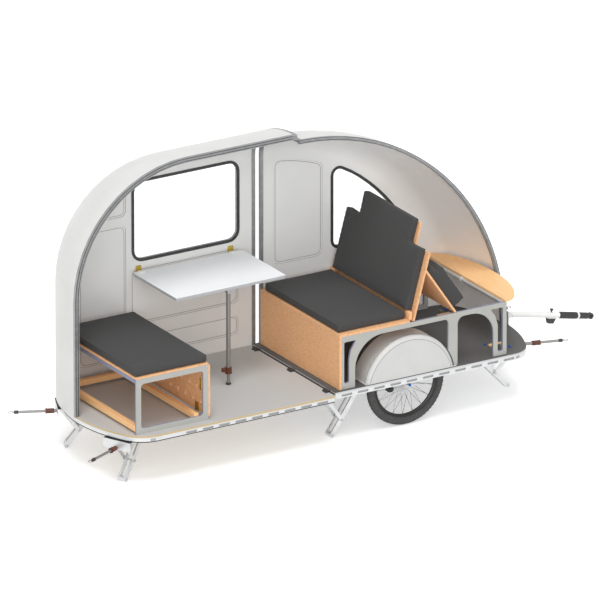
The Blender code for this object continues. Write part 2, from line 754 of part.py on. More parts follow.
def wheel_solid(side):
    """Rim, hub, rotor and spokes as one laced wheel about the origin, its axle along Y."""
    rim_outer = TYRE_RADIUS - 2 * TYRE_SECTION + 0.0028
    rim_inner = rim_outer - RIM_DEPTH
    half = RIM_HALF
    ring = turned([(-half, rim_outer), (half, rim_outer), (half, rim_outer - 0.009),
                   (half * 0.45, rim_inner), (-half * 0.45, rim_inner), (-half, rim_outer - 0.009),
                   (-half, rim_outer)], (0, 0, 0), (0, 1, 0), 48)
    bore = AXLE_RADIUS + PIN_GAP
    flange = 0.026
    hub = turned([(-HUB_HALF, bore), (-HUB_HALF, HUB_RADIUS), (-flange - 0.003, HUB_RADIUS),
                  (-flange - 0.003, FLANGE_RADIUS), (-flange + 0.003, FLANGE_RADIUS),
                  (-flange + 0.003, HUB_RADIUS), (flange - 0.003, HUB_RADIUS),
                  (flange - 0.003, FLANGE_RADIUS), (flange + 0.003, FLANGE_RADIUS),
                  (flange + 0.003, HUB_RADIUS), (HUB_HALF, HUB_RADIUS), (HUB_HALF, bore),
                  (-HUB_HALF, bore)], (0, 0, 0), (0, 1, 0), 20)
    plane = -side * (HUB_HALF - 0.003)
    rotor = turned([(-0.001, bore + 0.004), (-0.001, ROTOR_RADIUS), (0.001, ROTOR_RADIUS),
                    (0.001, bore + 0.004), (-0.001, bore + 0.004)],
                   (0, plane, 0), (0, plane + 1, 0), 36)
    spokes = []
    for flank in (-1, 1):
        for k in range(SPOKES_A_SIDE):
            base = 2 * pi * (k + 0.5 * (flank > 0)) / SPOKES_A_SIDE
            lean = flank * 0.62
            near = Vector((0.024 * cos(base), flank * flange, 0.024 * sin(base)))
            far = Vector(((rim_inner + 0.003) * cos(base + lean), flank * 0.003,
                          (rim_inner + 0.003) * sin(base + lean)))
            spokes.append(rod(near, far, SPOKE_RADIUS, 4))
    return combined(combined(gathered(ring, hub), rotor, "UNION"), gathered(*spokes), "UNION")


def tyre_solid():
    """A round tyre on the rim, open towards it."""
    centre = TYRE_RADIUS - TYRE_SECTION
    bead = asin((RIM_HALF + 0.0005) / TYRE_SECTION)
    profile = []
    for k in range(17):
        angle = -pi / 2 + bead + (2 * pi - 2 * bead) * k / 16
        profile.append((TYRE_SECTION * cos(angle), centre + TYRE_SECTION * sin(angle)))
    profile.append(profile[0])
    return turned(profile, (0, 0, 0), (0, 1, 0), 48)


def housing_solid(side):
    """A hollow half drum over the wheel, open below, with a rounded outer edge."""
    def drum(shrink, drop):
        outer_y, inner_y = HOUSING_OUTER_Y - shrink, HOUSING_INNER_Y + shrink
        radius, edge = HOUSING_RADIUS - shrink, HOUSING_EDGE - shrink
        level = DECK_TOP + GAP - drop
        stations = [(inner_y, radius)]
        for k in range(5):
            angle = radians(90 * k / 4)
            stations.append((outer_y - edge + edge * sin(angle), radius - edge + edge * cos(angle)))
        solid = bmesh.new()
        rings = []
        for y, r in stations:
            foot = asin((level - TYRE_RADIUS) / r)
            sweep = [foot + (pi - 2 * foot) * k / 20 for k in range(21)]
            rings.append([solid.verts.new((WHEEL_X + r * cos(a), side * y, TYRE_RADIUS + r * sin(a)))
                          for a in sweep])
        for one, two in zip(rings, rings[1:]):
            for k in range(len(one) - 1):
                solid.faces.new((one[k], one[k + 1], two[k + 1], two[k]))
        solid.faces.new(rings[0])
        solid.faces.new(rings[-1])
        solid.faces.new([ring[0] for ring in rings] + [ring[-1] for ring in reversed(rings)])
        bmesh.ops.recalc_face_normals(solid, faces=solid.faces)
        return solid
    return cut(drum(0.0, 0.0), drum(HOUSING_WALL, 0.010))


def build_wheels():
    plate_y = HOUSING_INNER_Y + 0.010
    plate = rounded([(WHEEL_X - 0.060, FRONT_RIM_TOP, 0), (WHEEL_X - 0.022, TYRE_RADIUS - 0.022, 0.020),
                     (WHEEL_X + 0.022, TYRE_RADIUS - 0.022, 0.020), (WHEEL_X + 0.060, FRONT_RIM_TOP, 0)])
    beam = rod((WHEEL_X, -plate_y - 0.004, FRONT_RIM_TOP - 0.024),
               (WHEEL_X, plate_y + 0.004, FRONT_RIM_TOP - 0.024), 0.019, 16)
    for side in (-1, 1):
        ends = sorted((side * plate_y, side * (plate_y + 0.008)))
        stub = rod((WHEEL_X, side * (plate_y + 0.004), TYRE_RADIUS),
                   (WHEEL_X, side * (WHEEL_Y + HUB_HALF + 0.005), TYRE_RADIUS), AXLE_RADIUS, 12)
        beam = fused(beam, prism(plate, "Y", *ends), stub)
    node("axle_beam", beam, "black", smooth=40)
    for name, side in (("near", -1), ("far", 1)):
        pivot = Vector((WHEEL_X, side * WHEEL_Y, TYRE_RADIUS))
        for piece, solid, finish in (("wheel_", wheel_solid(side), "aluminium"),
                                     ("tyre_", tyre_solid(), "tyre")):
            bmesh.ops.translate(solid, verts=solid.verts, vec=pivot)
            node(piece + name, solid, finish, pivot, smooth=40)
        node("housing_" + name, housing_solid(side), "shell", smooth=40)


# Bench

def build_bench():
    floor = REAR_FLOOR_TOP + GAP
    margin = BENCH_MARGIN
    for name, side in (("near", -1), ("far", 1)):
        ends = sorted((side * BENCH_HALF_WIDTH, side * (BENCH_HALF_WIDTH - BENCH_FRAME)))
        plate = prism(box_outline(BENCH_REAR, BENCH_FRONT, floor, BENCH_FRAME_TOP, 0.004, 2), "Y", *ends)
        opening = box_outline(BENCH_REAR + margin, BENCH_FRONT - margin, floor + margin,
                              BENCH_FRAME_TOP - margin, 0.022)
        plate = cut(plate, prism(opening, "Y", ends[0] - 0.01, ends[1] + 0.01))
        node("bench_frame_" + name, plate, "frame")
    inside = BENCH_HALF_WIDTH - BENCH_FRAME - GAP
    low, high = floor + BATTEN_LIFT, floor + BATTEN_LIFT + BATTEN_HEIGHT
    front_x = (BENCH_FRONT - 0.090, BENCH_FRONT - 0.090 + BATTEN_WIDTH)
    rear_x = (BENCH_REAR + 0.002, BENCH_REAR + 0.002 + BATTEN_WIDTH)
    battens = fused(block(rear_x, (-inside, inside), (low, high)),
                    block(front_x, (-inside, inside), (low, high)),
                    block((rear_x[0] + 0.01, front_x[1] - 0.01), (inside - BATTEN_WIDTH, inside),
                          (low, high)))
    node("bench_battens", battens, "wood")
    beam = block((BENCH_REAR + 0.004, BENCH_REAR + 0.024), (-inside, inside),
                 (BENCH_FRAME_TOP - 0.030, BENCH_FRAME_TOP))
    node("bench_rear_bar", beam, "aluminium")
    board_top = BENCH_FRAME_TOP + GAP + BENCH_BOARD
    board = block((BENCH_REAR - 0.002, BENCH_FRONT), (-BENCH_HALF_WIDTH, BENCH_HALF_WIDTH),
                  (BENCH_FRAME_TOP + GAP, board_top))
    node("bench_board", board, "chipboard")
    cushion = prism(box_outline(BENCH_REAR - BENCH_OVERHANG, BENCH_FRONT + BENCH_OVERHANG,
                                -BENCH_HALF_WIDTH, BENCH_HALF_WIDTH, 0.010, 2),
                    "Z", board_top + GAP, board_top + GAP + CUSHION)
    node("bench_cushion", cushion, "cushion")

    pivot = flap_pivot()
    flap_x = (BENCH_FRONT + GAP, BENCH_FRONT + GAP + FLAP)
    top = BENCH_FRAME_TOP - 0.004
    flap = block(flap_x, (-BENCH_HALF_WIDTH, BENCH_HALF_WIDTH), (pivot[2], top))
    rows = int((top - pivot[2] - 0.05) / HOLE_PITCH)
    columns = int((2 * BENCH_HALF_WIDTH - 0.06) / HOLE_PITCH)
    holes = []
    for row in range(rows):
        count = columns - row % 2
        for column in range(count):
            y = (column - (count - 1) / 2) * HOLE_PITCH
            z = pivot[2] + 0.060 + row * HOLE_PITCH
            holes.append(rod((flap_x[0] - 0.01, y, z), (flap_x[1] + 0.01, y, z), HOLE_RADIUS, 10))
    flap = cut(flap, gathered(*holes))
    knuckle = rod((pivot[0], -BENCH_HALF_WIDTH + 0.02, pivot[2]),
                  (pivot[0], BENCH_HALF_WIDTH - 0.02, pivot[2]), FLAP_HINGE_RADIUS, 10)
    node("bench_flap", fused(flap, knuckle), "chipboard", pivot)


def flap_pivot():
    """The flap's hinge line at the foot of the bench's front."""
    return (BENCH_FRONT + GAP + FLAP / 2, 0.0, REAR_FLOOR_TOP + 0.022)


# Couch

def frame_cutters(side_ends):
    """The wheel arch and the slot of each of the two side frames on one side."""
    bottom, top = DECK_TOP - 0.02, SIDE_FRAME_TOP - 0.030
    arch = rounded([(0.153, bottom, 0), (0.153, top, 0.190), (0.7965, top, 0.028), (0.7965, bottom, 0)], 8)
    slot = rounded([(0.078, DECK_TOP + 0.036, 0.010), (0.112, DECK_TOP + 0.036, 0.010),
                    (0.112, top - 0.120, 0), (0.124, top - 0.065, 0), (0.160, top - 0.006, 0.006),
                    (0.078, top - 0.006, 0.010)], 4)
    arch_two = rounded([(0.860, bottom, 0), (0.860, top, 0.045), (1.108, top, 0.150),
                        (1.108, bottom, 0)], 8)
    slot_two = rounded([(1.139, DECK_TOP + 0.026, 0.010), (1.174, DECK_TOP + 0.026, 0.010),
                        (1.174, top, 0.008), (1.088, top, 0.006), (1.122, top - 0.048, 0),
                        (1.139, top - 0.105, 0)], 4)
    reach = (min(side_ends) - 0.01, max(side_ends) + 0.01)
    drum = arc((WHEEL_X, TYRE_RADIUS), HOUSING_RADIUS + 0.002, 0, 357, 60)
    return [prism(outline, "Y", *reach) for outline in (arch, slot, arch_two, slot_two, drum)]


def build_couch():
    floor = DECK_TOP + GAP
    panel_x = (FRONT_SHELL_START, FRONT_SHELL_START + PANEL)
    panel_top = SIDE_FRAME_TOP + GAP + SEAT_BOARD
    panel = block(panel_x, (-SIDE_HALF_WIDTH, SIDE_HALF_WIDTH), (floor, panel_top))
    node("bed_end_panel", panel, "chipboard")
    start = panel_x[1] + GAP
    for name, side in (("near", -1), ("far", 1)):
        ends = sorted((side * SIDE_HALF_WIDTH, side * (SIDE_HALF_WIDTH - SIDE_FRAME)))
        frame = cut(block((start, SHORT_FRAME_END), ends, (floor, SIDE_FRAME_TOP)),
                    *frame_cutters(ends))
        node("couch_frame_" + name, frame, "frame")
    seat = block((start, SEAT_FRONT), (-SIDE_HALF_WIDTH, SIDE_HALF_WIDTH),
                 (SIDE_FRAME_TOP + GAP, panel_top))
    node("seat_board", seat, "chipboard")
    cushion = prism(box_outline(panel_x[0] + 0.002, SEAT_CUSHION_FRONT, -SEAT_CUSHION_HALF,
                                SEAT_CUSHION_HALF, 0.010, 2),
                    "Z", panel_top + GAP, panel_top + GAP + CUSHION)
    node("seat_cushion", cushion, "cushion")

    inside = SIDE_HALF_WIDTH - SIDE_FRAME - GAP
    tube = rod((CROSS_TUBE_X, -inside, SIDE_FRAME_TOP - CROSS_TUBE_RADIUS),
               (CROSS_TUBE_X, inside, SIDE_FRAME_TOP - CROSS_TUBE_RADIUS), CROSS_TUBE_RADIUS, 16)
    node("cross_tube", tube, "aluminium", smooth=40)
    oval = [(SHELF_START + (SHELF_END - SHELF_START) * cos(a), SHELF_HALF_WIDTH * sin(a))
            for a in (radians(-90 + 180 * k / 24) for k in range(25))]
    shelf = prism(oval, "Z",
                  SIDE_FRAME_TOP + GAP, SIDE_FRAME_TOP + GAP + SHELF)
    node("nose_shelf", shelf, "wood")
    build_backrest()


def leaning(outline, low, high):
    """A plate in the backrest's plane: (y, height along it), from low to high behind its face."""
    solid = prism(outline, "X", low, high)
    place = (Matrix.Translation((BACKREST_FOOT[0], 0.0, BACKREST_FOOT[1]))
             @ Matrix.Rotation(BACK_TILT, 4, "Y"))
    bmesh.ops.transform(solid, matrix=place, verts=solid.verts)
    return solid


def stepped(wide, narrow, low, step, high, radius):
    """A wide lower part with a narrower one above it."""
    return rounded([(-wide, low, radius), (wide, low, radius), (wide, step, radius),
                    (narrow, step, 0), (narrow, high, radius), (-narrow, high, radius),
                    (-narrow, step, 0), (-wide, step, radius)], 3)


def prop_line():
    """The prop board's foot, and the direction from there up to the backrest."""
    foot = Vector((PROP_FOOT, SIDE_FRAME_TOP + GAP))
    return foot, Vector((-0.564, 0.826)).normalized()


def build_backrest():
    foot_edge = (SIDE_FRAME_TOP + GAP - BACKREST_FOOT[1] + BACKREST_BOARD * sin(BACK_TILT)) / cos(BACK_TILT)
    board = leaning(stepped(SIDE_HALF_WIDTH, BACKREST_NARROW + 0.010, foot_edge,
                            BACKREST_STEP - 0.020, BACKREST_HIGH - 0.030, 0.006), 0.0, BACKREST_BOARD)
    node("backrest_board", board, "chipboard")
    cushion = leaning(stepped(BACKREST_WIDE, BACKREST_NARROW, BACKREST_LOW, BACKREST_STEP,
                              BACKREST_HIGH, 0.010), -GAP - CUSHION, -GAP)
    node("backrest_cushion", cushion, "cushion")

    foot, up = prop_line()
    out = Vector((up.y, -up.x))
    back = Vector(BACKREST_FOOT) + Vector((cos(BACK_TILT), -sin(BACK_TILT))) * (BACKREST_BOARD + GAP)
    rise = Vector((sin(BACK_TILT), cos(BACK_TILT)))

    def meets_back(origin):
        """Where the line from origin up the prop meets the back of the backrest board."""
        across = Vector((rise.y, -rise.x))
        return origin + up * ((back - origin).dot(across) / up.dot(across))

    low = foot
    toe = foot + out * PROP_BOARD
    outline = [tuple(low), tuple(toe), tuple(meets_back(toe)), tuple(meets_back(low))]
    node("prop_board", prism(outline, "Y", -SIDE_HALF_WIDTH, SIDE_HALF_WIDTH), "chipboard")
    face = toe + out * GAP + up * 0.004
    pads = [face, face + out * 2 * CUSHION, face + out * 2 * CUSHION + up * SPARE_SHORT,
            face + out * CUSHION + up * SPARE_SHORT, face + out * CUSHION + up * SPARE_LONG,
            face + up * SPARE_LONG]
    node("spare_cushion", prism([tuple(p) for p in pads], "Y", -BACKREST_WIDE, BACKREST_WIDE), "cushion")


# Table

def build_table():
    front = TABLE_REAR + TABLE_LENGTH
    near = TABLE_FAR_EDGE - TABLE_DEPTH
    middle = TABLE_REAR + TABLE_LENGTH / 2
    under = TABLE_TOP - TABLE_LEAF
    leaf = prism(box_outline(TABLE_REAR, front, near, TABLE_FAR_EDGE, 0.006, 2), "Z", under, TABLE_TOP)
    wall = REAR_HALF_WIDTH - WALL - GAP
    for x in (TABLE_REAR + 0.050, front - 0.070):
        bracket = prism([(TABLE_FAR_EDGE - 0.030, TABLE_TOP - 0.004), (wall, TABLE_TOP - 0.004),
                         (wall, TABLE_TOP + 0.030), (wall - 0.005, TABLE_TOP + 0.030),
                         (wall - 0.007, TABLE_TOP + 0.004), (TABLE_FAR_EDGE - 0.030, TABLE_TOP + 0.004)],
                        "X", x - 0.017, x + 0.017)
        leaf = fused(leaf, bracket)
    pivot = table_pivot()
    reach = TABLE_PIVOT_RADIUS + 0.001
    for side in (-1, 1):
        ends = sorted((side * reach, side * (reach + 0.004)))
        ear = [(middle - 0.022, under + 0.004), (middle - 0.012, pivot[2] - 0.010),
               (middle + 0.012, pivot[2] - 0.010), (middle + 0.022, under + 0.004)]
        leaf = fused(leaf, prism(ear, "Y", *ends))
    node("table_leaf", leaf, "table")

    clamp_low, clamp_high = TABLE_CLAMP_Z - 0.018, TABLE_CLAMP_Z + 0.018
    drop = pivot[2]
    profile = [(0.012, 0.004), (0.012, TABLE_LEG_RADIUS), (drop - clamp_high, TABLE_LEG_RADIUS),
               (drop - clamp_high, 0.018), (drop - clamp_low, 0.018), (drop - clamp_low, TABLE_BORE),
               (0.040, TABLE_BORE), (0.040, 0.004), (0.012, 0.004)]
    tube = turned(profile, pivot, (pivot[0], pivot[1], 0.0), 16)
    eye = rod((pivot[0], -TABLE_PIVOT_RADIUS, drop), (pivot[0], TABLE_PIVOT_RADIUS, drop),
              TABLE_PIVOT_RADIUS, 16)
    node("table_leg", fused(tube, eye), "aluminium", pivot, smooth=40)
    foot = turned([(0.0, 0.0125), (0.009, 0.0125), (0.011, TABLE_FOOT_RADIUS),
                   (0.460, TABLE_FOOT_RADIUS)], (pivot[0], 0.0, REAR_FLOOR_TOP + GAP),
                  (pivot[0], 0.0, TABLE_TOP), 16)
    node("table_leg_foot", foot, "aluminium", pivot, smooth=40)


def table_pivot():
    return (TABLE_REAR + TABLE_LENGTH / 2, 0.0, TABLE_TOP - TABLE_LEAF - TABLE_PIVOT_DROP)


# Folding legs

def leg_length(station):
    """Rear and middle legs reach the ground; the front ones hang clear of it."""
    lean = radians(LEGS[station][3])
    return FRONT_LEG_LENGTH if station == "front" else (LEG_PIVOT_Z - LEG_FOOT_RADIUS) / cos(lean)


def flat_bar(start, end, half, low, high):
    """A bar with round ends between two points (x, z), from low to high along Y."""
    heading = atan2(end[1] - start[1], end[0] - start[0]) * 180 / pi
    outline = arc(start, half, heading + 90, heading + 270, 6) + arc(end, half, heading - 90, heading + 90, 6)
    return prism(outline, "Y", low, high)


def build_legs():
    for station, (x, y, heading, lean, reach, guide_length) in LEGS.items():
        tilt = radians(lean)
        down = (sin(tilt), -cos(tilt))
        foot = (down[0] * leg_length(station), down[1] * leg_length(station))
        pin = (down[0] * reach, down[1] * reach)
        for name, side in (("near", -1), ("far", 1)):
            leg = fused(rod((0, -LEG_BAR_OUT + 0.002, 0), (0, LEG_BAR_OUT - 0.002, 0), LEG_PIVOT_RADIUS, 12),
                        rod((foot[0], -LEG_BAR_OUT - 0.001, foot[1]),
                            (foot[0], LEG_BAR_OUT + 0.001, foot[1]), LEG_FOOT_RADIUS, 16),
                        flat_bar((0, 0), foot, LEG_BAR_HALF, -LEG_BAR_OUT, -LEG_BAR_IN),
                        flat_bar((0, 0), foot, LEG_BAR_HALF, LEG_BAR_IN, LEG_BAR_OUT))
            leg = cut(leg, rod((pin[0], -0.1, pin[1]), (pin[0], 0.1, pin[1]), BRACE_BORE, 12))
            brace = fused(rod((pin[0], -BRACE_OUT - 0.002, pin[1]), (pin[0], BRACE_OUT + 0.002, pin[1]),
                              BRACE_PIN, 12),
                          flat_bar(pin, (2 * pin[0], 0.0), BRACE_HALF_WIDTH, -BRACE_OUT, -BRACE_IN),
                          flat_bar(pin, (2 * pin[0], 0.0), BRACE_HALF_WIDTH, BRACE_IN, BRACE_OUT))
            pivot = station_point(station, side, 0.0, 0.0, LEG_PIVOT_Z)
            middle = station_point(station, side, pin[0], 0.0, LEG_PIVOT_Z + pin[1])
            node("leg_%s_%s" % (station, name), in_station(leg, station, side, LEG_PIVOT_Z),
                 "aluminium", pivot, smooth=40)
            node("brace_%s_%s" % (station, name), in_station(brace, station, side, LEG_PIVOT_Z),
                 "aluminium", middle, smooth=40)


# Corner struts

def strut(start, end):
    """A tube with a clamp on it and a thinner rod in it."""
    length = (end - start).length
    clamp = length * 0.05 if start.x < 0 else length * 0.42
    profile = [(0.0, STRUT_TUBE), (clamp, STRUT_TUBE), (clamp, STRUT_CLAMP),
               (clamp + 0.046, STRUT_CLAMP), (clamp + 0.046, STRUT_ROD),
               (length - 0.020, STRUT_ROD), (length - 0.020, STRUT_TUBE - 0.001),
               (length, STRUT_TUBE - 0.001)]
    return turned(profile, start, end, 14)


def build_struts():
    for name, side in (("near", -1), ("far", 1)):
        rear = strut(station_point("rear", side, FOOT_PLATE[1] + GAP, 0.0, STRUT_REAR_Z),
                     station_point("rear", side, STRUT_REAR_REACH, 0.0, STRUT_REAR_Z))
        node("strut_rear_" + name, rear, "aluminium", smooth=40)
        level = FRONT_RIM_BOTTOM - STRUT_FRONT_DROP
        (x0, y0), (x1, y1) = STRUT_FRONT
        front = strut(Vector((x0, side * y0, level)), Vector((x1, side * y1, level)))
        node("strut_front_" + name, front, "aluminium", smooth=40)


# Drawbar

def build_drawbar():
    pivot = Vector((DRAWBAR_PIVOT[0], 0.0, DRAWBAR_PIVOT[1]))
    pitch = radians(DRAWBAR_PITCH)
    along = Vector((cos(pitch), 0.0, -sin(pitch)))
    up = Vector((sin(pitch), 0.0, cos(pitch)))
    half_eye = DRAWBAR_RADIUS + 0.002
    tube = turned([(0.004, DRAWBAR_RADIUS - 0.006), (0.016, DRAWBAR_RADIUS),
                   (GRIP_START, DRAWBAR_RADIUS)], pivot, pivot + along, 20)
    eye = rod(pivot - Vector((0, half_eye, 0)), pivot + Vector((0, half_eye, 0)), 0.013, 16)
    foot_at = pivot + along * 0.310 - up * (DRAWBAR_RADIUS - 0.003)
    foot = []
    for along_part, up_part in ((-0.032, 0.0), (0.032, 0.0), (0.018, -0.036), (-0.018, -0.036)):
        point = foot_at + along * along_part + up * up_part
        foot.append((point.x, point.z))
    tube = fused(tube, eye, prism(foot, "Y", -0.012, 0.012))
    node("drawbar", tube, "aluminium", pivot, smooth=40)

    grip = turned([(GRIP_START + GAP, DRAWBAR_RADIUS), (GRIP_START + 0.004, GRIP_RADIUS),
                   (GRIP_END - 0.004, GRIP_RADIUS), (GRIP_END, DRAWBAR_RADIUS)],
                  pivot, pivot + along, 20)
    node("drawbar_grip", grip, "black", pivot, smooth=40)

    tip = pivot + along * HEAD_END
    body = turned([(GRIP_END + GAP, 0.016), (GRIP_END + 0.014, 0.016), (GRIP_END + 0.015, 0.0195),
                   (HEAD_END - 0.022, 0.0195), (HEAD_END - 0.014, 0.015)], pivot, pivot + along, 20)
    ring = rod(tip - Vector((0, 0.011, 0)), tip + Vector((0, 0.011, 0)), 0.019, 24)
    bore = rod(tip - Vector((0, 0.05, 0)), tip + Vector((0, 0.05, 0)), 0.0075, 16)
    node("hitch_head", cut(fused(body, ring), bore), "black", pivot, smooth=40)


build_floors()
build_shells()
build_wheels()
build_bench()
build_couch()
build_table()
build_legs()
build_struts()
build_drawbar()
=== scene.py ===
"""Bicycle camper trailer, set up for use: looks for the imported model."""

from functools import partial
from math import acos, cos, pi, radians, sin

import bpy
import numpy as np
from mathutils import Matrix, Vector


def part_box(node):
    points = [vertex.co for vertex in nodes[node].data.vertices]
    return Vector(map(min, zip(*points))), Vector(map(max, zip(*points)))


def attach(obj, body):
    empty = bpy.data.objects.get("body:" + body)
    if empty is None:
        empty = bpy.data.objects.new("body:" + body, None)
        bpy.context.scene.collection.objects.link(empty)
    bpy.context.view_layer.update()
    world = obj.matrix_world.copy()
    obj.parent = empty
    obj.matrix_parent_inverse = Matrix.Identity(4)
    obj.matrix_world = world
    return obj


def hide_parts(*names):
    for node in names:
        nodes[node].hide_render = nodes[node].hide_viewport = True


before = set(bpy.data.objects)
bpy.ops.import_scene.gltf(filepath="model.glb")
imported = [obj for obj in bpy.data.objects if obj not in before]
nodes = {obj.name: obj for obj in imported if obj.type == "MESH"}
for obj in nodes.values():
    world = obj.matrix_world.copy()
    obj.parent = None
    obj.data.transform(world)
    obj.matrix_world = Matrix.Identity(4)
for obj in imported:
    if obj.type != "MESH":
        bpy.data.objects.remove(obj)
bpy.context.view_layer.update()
bpy.ops.object.select_all(action="DESELECT")

# Studio
# A long lens from the near side and a little above, as the picture has it. The floor and the
# world show white to the camera, and a soft key light comes from above on the near side.

LENS, SENSOR = 1000.0, 36.0
PIXELS_A_METRE, FRAME_PIXELS = 170.0, 600
towards_camera = Vector((-0.4843, -0.7993, 0.3556)).normalized()
looked_at = Vector((-0.1747, 0.0, 0.7474))


def staged(name, data, stands_towards):
    """Put a camera or a lamp in the scene, looking back from where it stands."""
    made = bpy.data.objects.new(name, data)
    made.rotation_mode = "QUATERNION"
    made.rotation_quaternion = (-stands_towards).to_track_quat("-Z", "Y")
    bpy.context.scene.collection.objects.link(made)
    return made


long_lens = bpy.data.cameras.new("long_lens")
long_lens.lens, long_lens.sensor_width, long_lens.clip_end = LENS, SENSOR, 1000.0
camera = staged("long_lens", long_lens, towards_camera)
camera.location = looked_at + towards_camera * (LENS / SENSOR * FRAME_PIXELS / PIXELS_A_METRE)
bpy.context.scene.camera = camera
bpy.context.scene.view_settings.view_transform = "Standard"

# The broad fill from the camera's own side reaches the walls behind the furniture.
for name, energy, angle, stands_towards in (("key", 1.25, 25, Vector((-0.20, -0.35, 1.30))),
                                            ("fill", 1.22, 50, towards_camera)):
    lamp = bpy.data.lights.new(name, "SUN")
    lamp.energy, lamp.angle = energy, radians(angle)
    staged(name, lamp, stands_towards)


def linear(code, alpha=1.0):
    """An sRGB hex colour as linear RGBA."""
    parts = [int(code[k:k + 2], 16) / 255 for k in (1, 3, 5)]
    return tuple(c / 12.92 if c <= 0.04045 else ((c + 0.055) / 1.055) ** 2.4 for c in parts) + (alpha,)


def add_node(owner, kind, settings=None, links=None, stops=()):
    """Add a node with the values of its properties and sockets, its links and a ramp's stops.

    A link comes from an output, or from a node for its first output.
    """
    made = owner.node_tree.nodes.new("ShaderNode" + kind)
    for key, value in (settings or {}).items():
        if isinstance(key, str) and hasattr(made, key):
            setattr(made, key, value)
        else:
            made.inputs[key].default_value = value
    for key, source in (links or {}).items():
        owner.node_tree.links.new(getattr(source, "outputs", [source])[0], made.inputs[key])
    if stops:
        for end, (at, code) in zip(made.color_ramp.elements, (stops[0], stops[-1])):
            end.position, end.color = at, linear(code)
        for at, code in stops[1:-1]:
            made.color_ramp.elements.new(at).color = linear(code)
    return made


def backdrop_seen(owner):
    """1 on rays that show the backdrop: the camera's, mirrored ones and those through glass."""
    rays = add_node(owner, "LightPath")
    seen = add_node(owner, "Math", {"operation": "MAXIMUM"},
                    {0: rays.outputs["Is Camera Ray"], 1: rays.outputs["Is Transmission Ray"]})
    return add_node(owner, "Math", {"operation": "MAXIMUM"}, {0: seen, 1: rays.outputs["Is Glossy Ray"]})


WORLD_LIGHT, PAPER_GLOW = 0.62, 0.42
world = bpy.data.worlds.new("soft_studio")
world.use_nodes = True
world.node_tree.nodes.clear()
strength = add_node(world, "MapRange", {"To Min": WORLD_LIGHT, "To Max": 1.0},
                    {"Value": backdrop_seen(world)})
sky = add_node(world, "Background", {"Color": linear("#FFFFFF")}, {"Strength": strength})
add_node(world, "OutputWorld", None, {"Surface": sky})
bpy.context.scene.world = world

bpy.ops.mesh.primitive_circle_add(vertices=64, radius=60.0, fill_type="NGON", location=(0, 0, -0.0015))
floor = bpy.context.object
floor.name = "studio_floor"
paper = bpy.data.materials.new("white_paper_floor")
paper.use_nodes = True
paper.node_tree.nodes.clear()
glow = add_node(paper, "Math", {"operation": "MULTIPLY", 1: PAPER_GLOW}, {0: backdrop_seen(paper)})
matt = add_node(paper, "BsdfDiffuse", {"Color": linear("#E8E8E8")})
light = add_node(paper, "Emission", {"Color": linear("#FFFFFF")}, {"Strength": glow})
both = add_node(paper, "AddShader", None, {0: matt, 1: light})
add_node(paper, "OutputMaterial", None, {"Surface": both})
floor.data.materials.append(paper)
bpy.ops.object.select_all(action="DESELECT")

# Cabin shells
# Two half shells of sandwich laminate, each in a mould of its own, with a white gelcoat outside
# and inside. Flat side walls run into a rolled roof, and shallow panels stiffen the inner faces.


def surface(name, colour, roughness, **sockets):
    """A new Principled material with its plain values set.

    With it come its shader, its own node adder and the object's place.
    """
    made = bpy.data.materials.new(name)
    made.use_nodes = True
    shader = made.node_tree.nodes["Principled BSDF"]
    shader.inputs["Base Color"].default_value = linear(colour)
    shader.inputs["Roughness"].default_value = roughness
    for key, value in sockets.items():
        shader.inputs[key.replace("_", " ")].default_value = value
    add = partial(add_node, made)
    return made, shader, add, add("TexCoord").outputs["Object"]


def mottle(add, place, scale, detail, *stops):
    """A colour that wanders over the piece from stop to stop."""
    pattern = add("TexNoise", {"Scale": scale, "Detail": detail}, {"Vector": place})
    return add("ValToRGB", None, {"Fac": pattern}, stops)


def feed(shader, **sources):
    """Link nodes, or outputs of theirs, to the shader's sockets."""
    for key, source in sources.items():
        output = getattr(source, "outputs", [source])[0]
        shader.id_data.links.new(output, shader.inputs[key.replace("_", " ")])


def dress(node_names, material):
    """Give CAD nodes this finish in every slot."""
    for name in node_names:
        for slot in nodes[name].material_slots:
            slot.material = material


CABIN_MIDDLE = (-0.25, 0.0, 0.80)

# Gelcoat on laminate, moulded: smooth and softly glossy, with the long faint ripple of the core
# behind it (250 mm) and an orange peel too fine to show, drawn at 4 mm. The faces that look into
# the cabin are painted lighter than the outside, lightest in the nose: painted light for the shaded cabin.
gelcoat, shader, add, place = surface("moulded_gelcoat_on_laminate", "#E2E2E0", 0.36, IOR=1.5)
ripple = add("TexNoise", {"Scale": 4.0, "Detail": 1.0}, {"Vector": place})
peel = add("TexNoise", {"Scale": 250.0, "Detail": 2.0}, {"Vector": place})
outer = add("ValToRGB", None, {"Fac": ripple}, ((0.3, "#D5D5D3"), (0.7, "#DCDCDA")))
# The inner ramp is a lit copy of the outer one: painted light on the faces inside the cabin.
inner = add("ValToRGB", None, {"Fac": ripple}, ((0.3, "#E1E1DF"), (0.7, "#E7E7E5")))
parts = add("SeparateXYZ", None, {0: place})
# Painted light: the inner coat grows lighter towards the nose, where the cabin lies in most shade.
painted_light_to_nose = add("MapRange", {"From Min": 0.0, "From Max": 0.9}, {"Value": parts.outputs["X"]})
inner_with_painted_light = add("Mix", {"data_type": "RGBA", 7: linear("#FCFCFB")}, {"Factor": painted_light_to_nose, 6: inner})
normal = add("NewGeometry").outputs["True Normal"]
away = add("VectorMath", {"operation": "SUBTRACT", 1: CABIN_MIDDLE}, {0: place})
outwards = add("VectorMath", {"operation": "DOT_PRODUCT"}, {0: away, 1: normal})
outside = add("Math", {"operation": "GREATER_THAN", 1: 0.0}, {0: outwards.outputs["Value"]})
coat = add("Mix", {"data_type": "RGBA"}, {"Factor": outside, 6: inner_with_painted_light.outputs[2], 7: outer})
wave = add("Bump", {"Strength": 0.06, "Distance": 0.004}, {"Height": ripple})
fine = add("Bump", {"Strength": 0.04, "Distance": 0.0004}, {"Height": peel, "Normal": wave})
feed(shader, Base_Color=coat.outputs[2], Normal=fine)
dress(["rear_shell", "front_shell"], gelcoat)


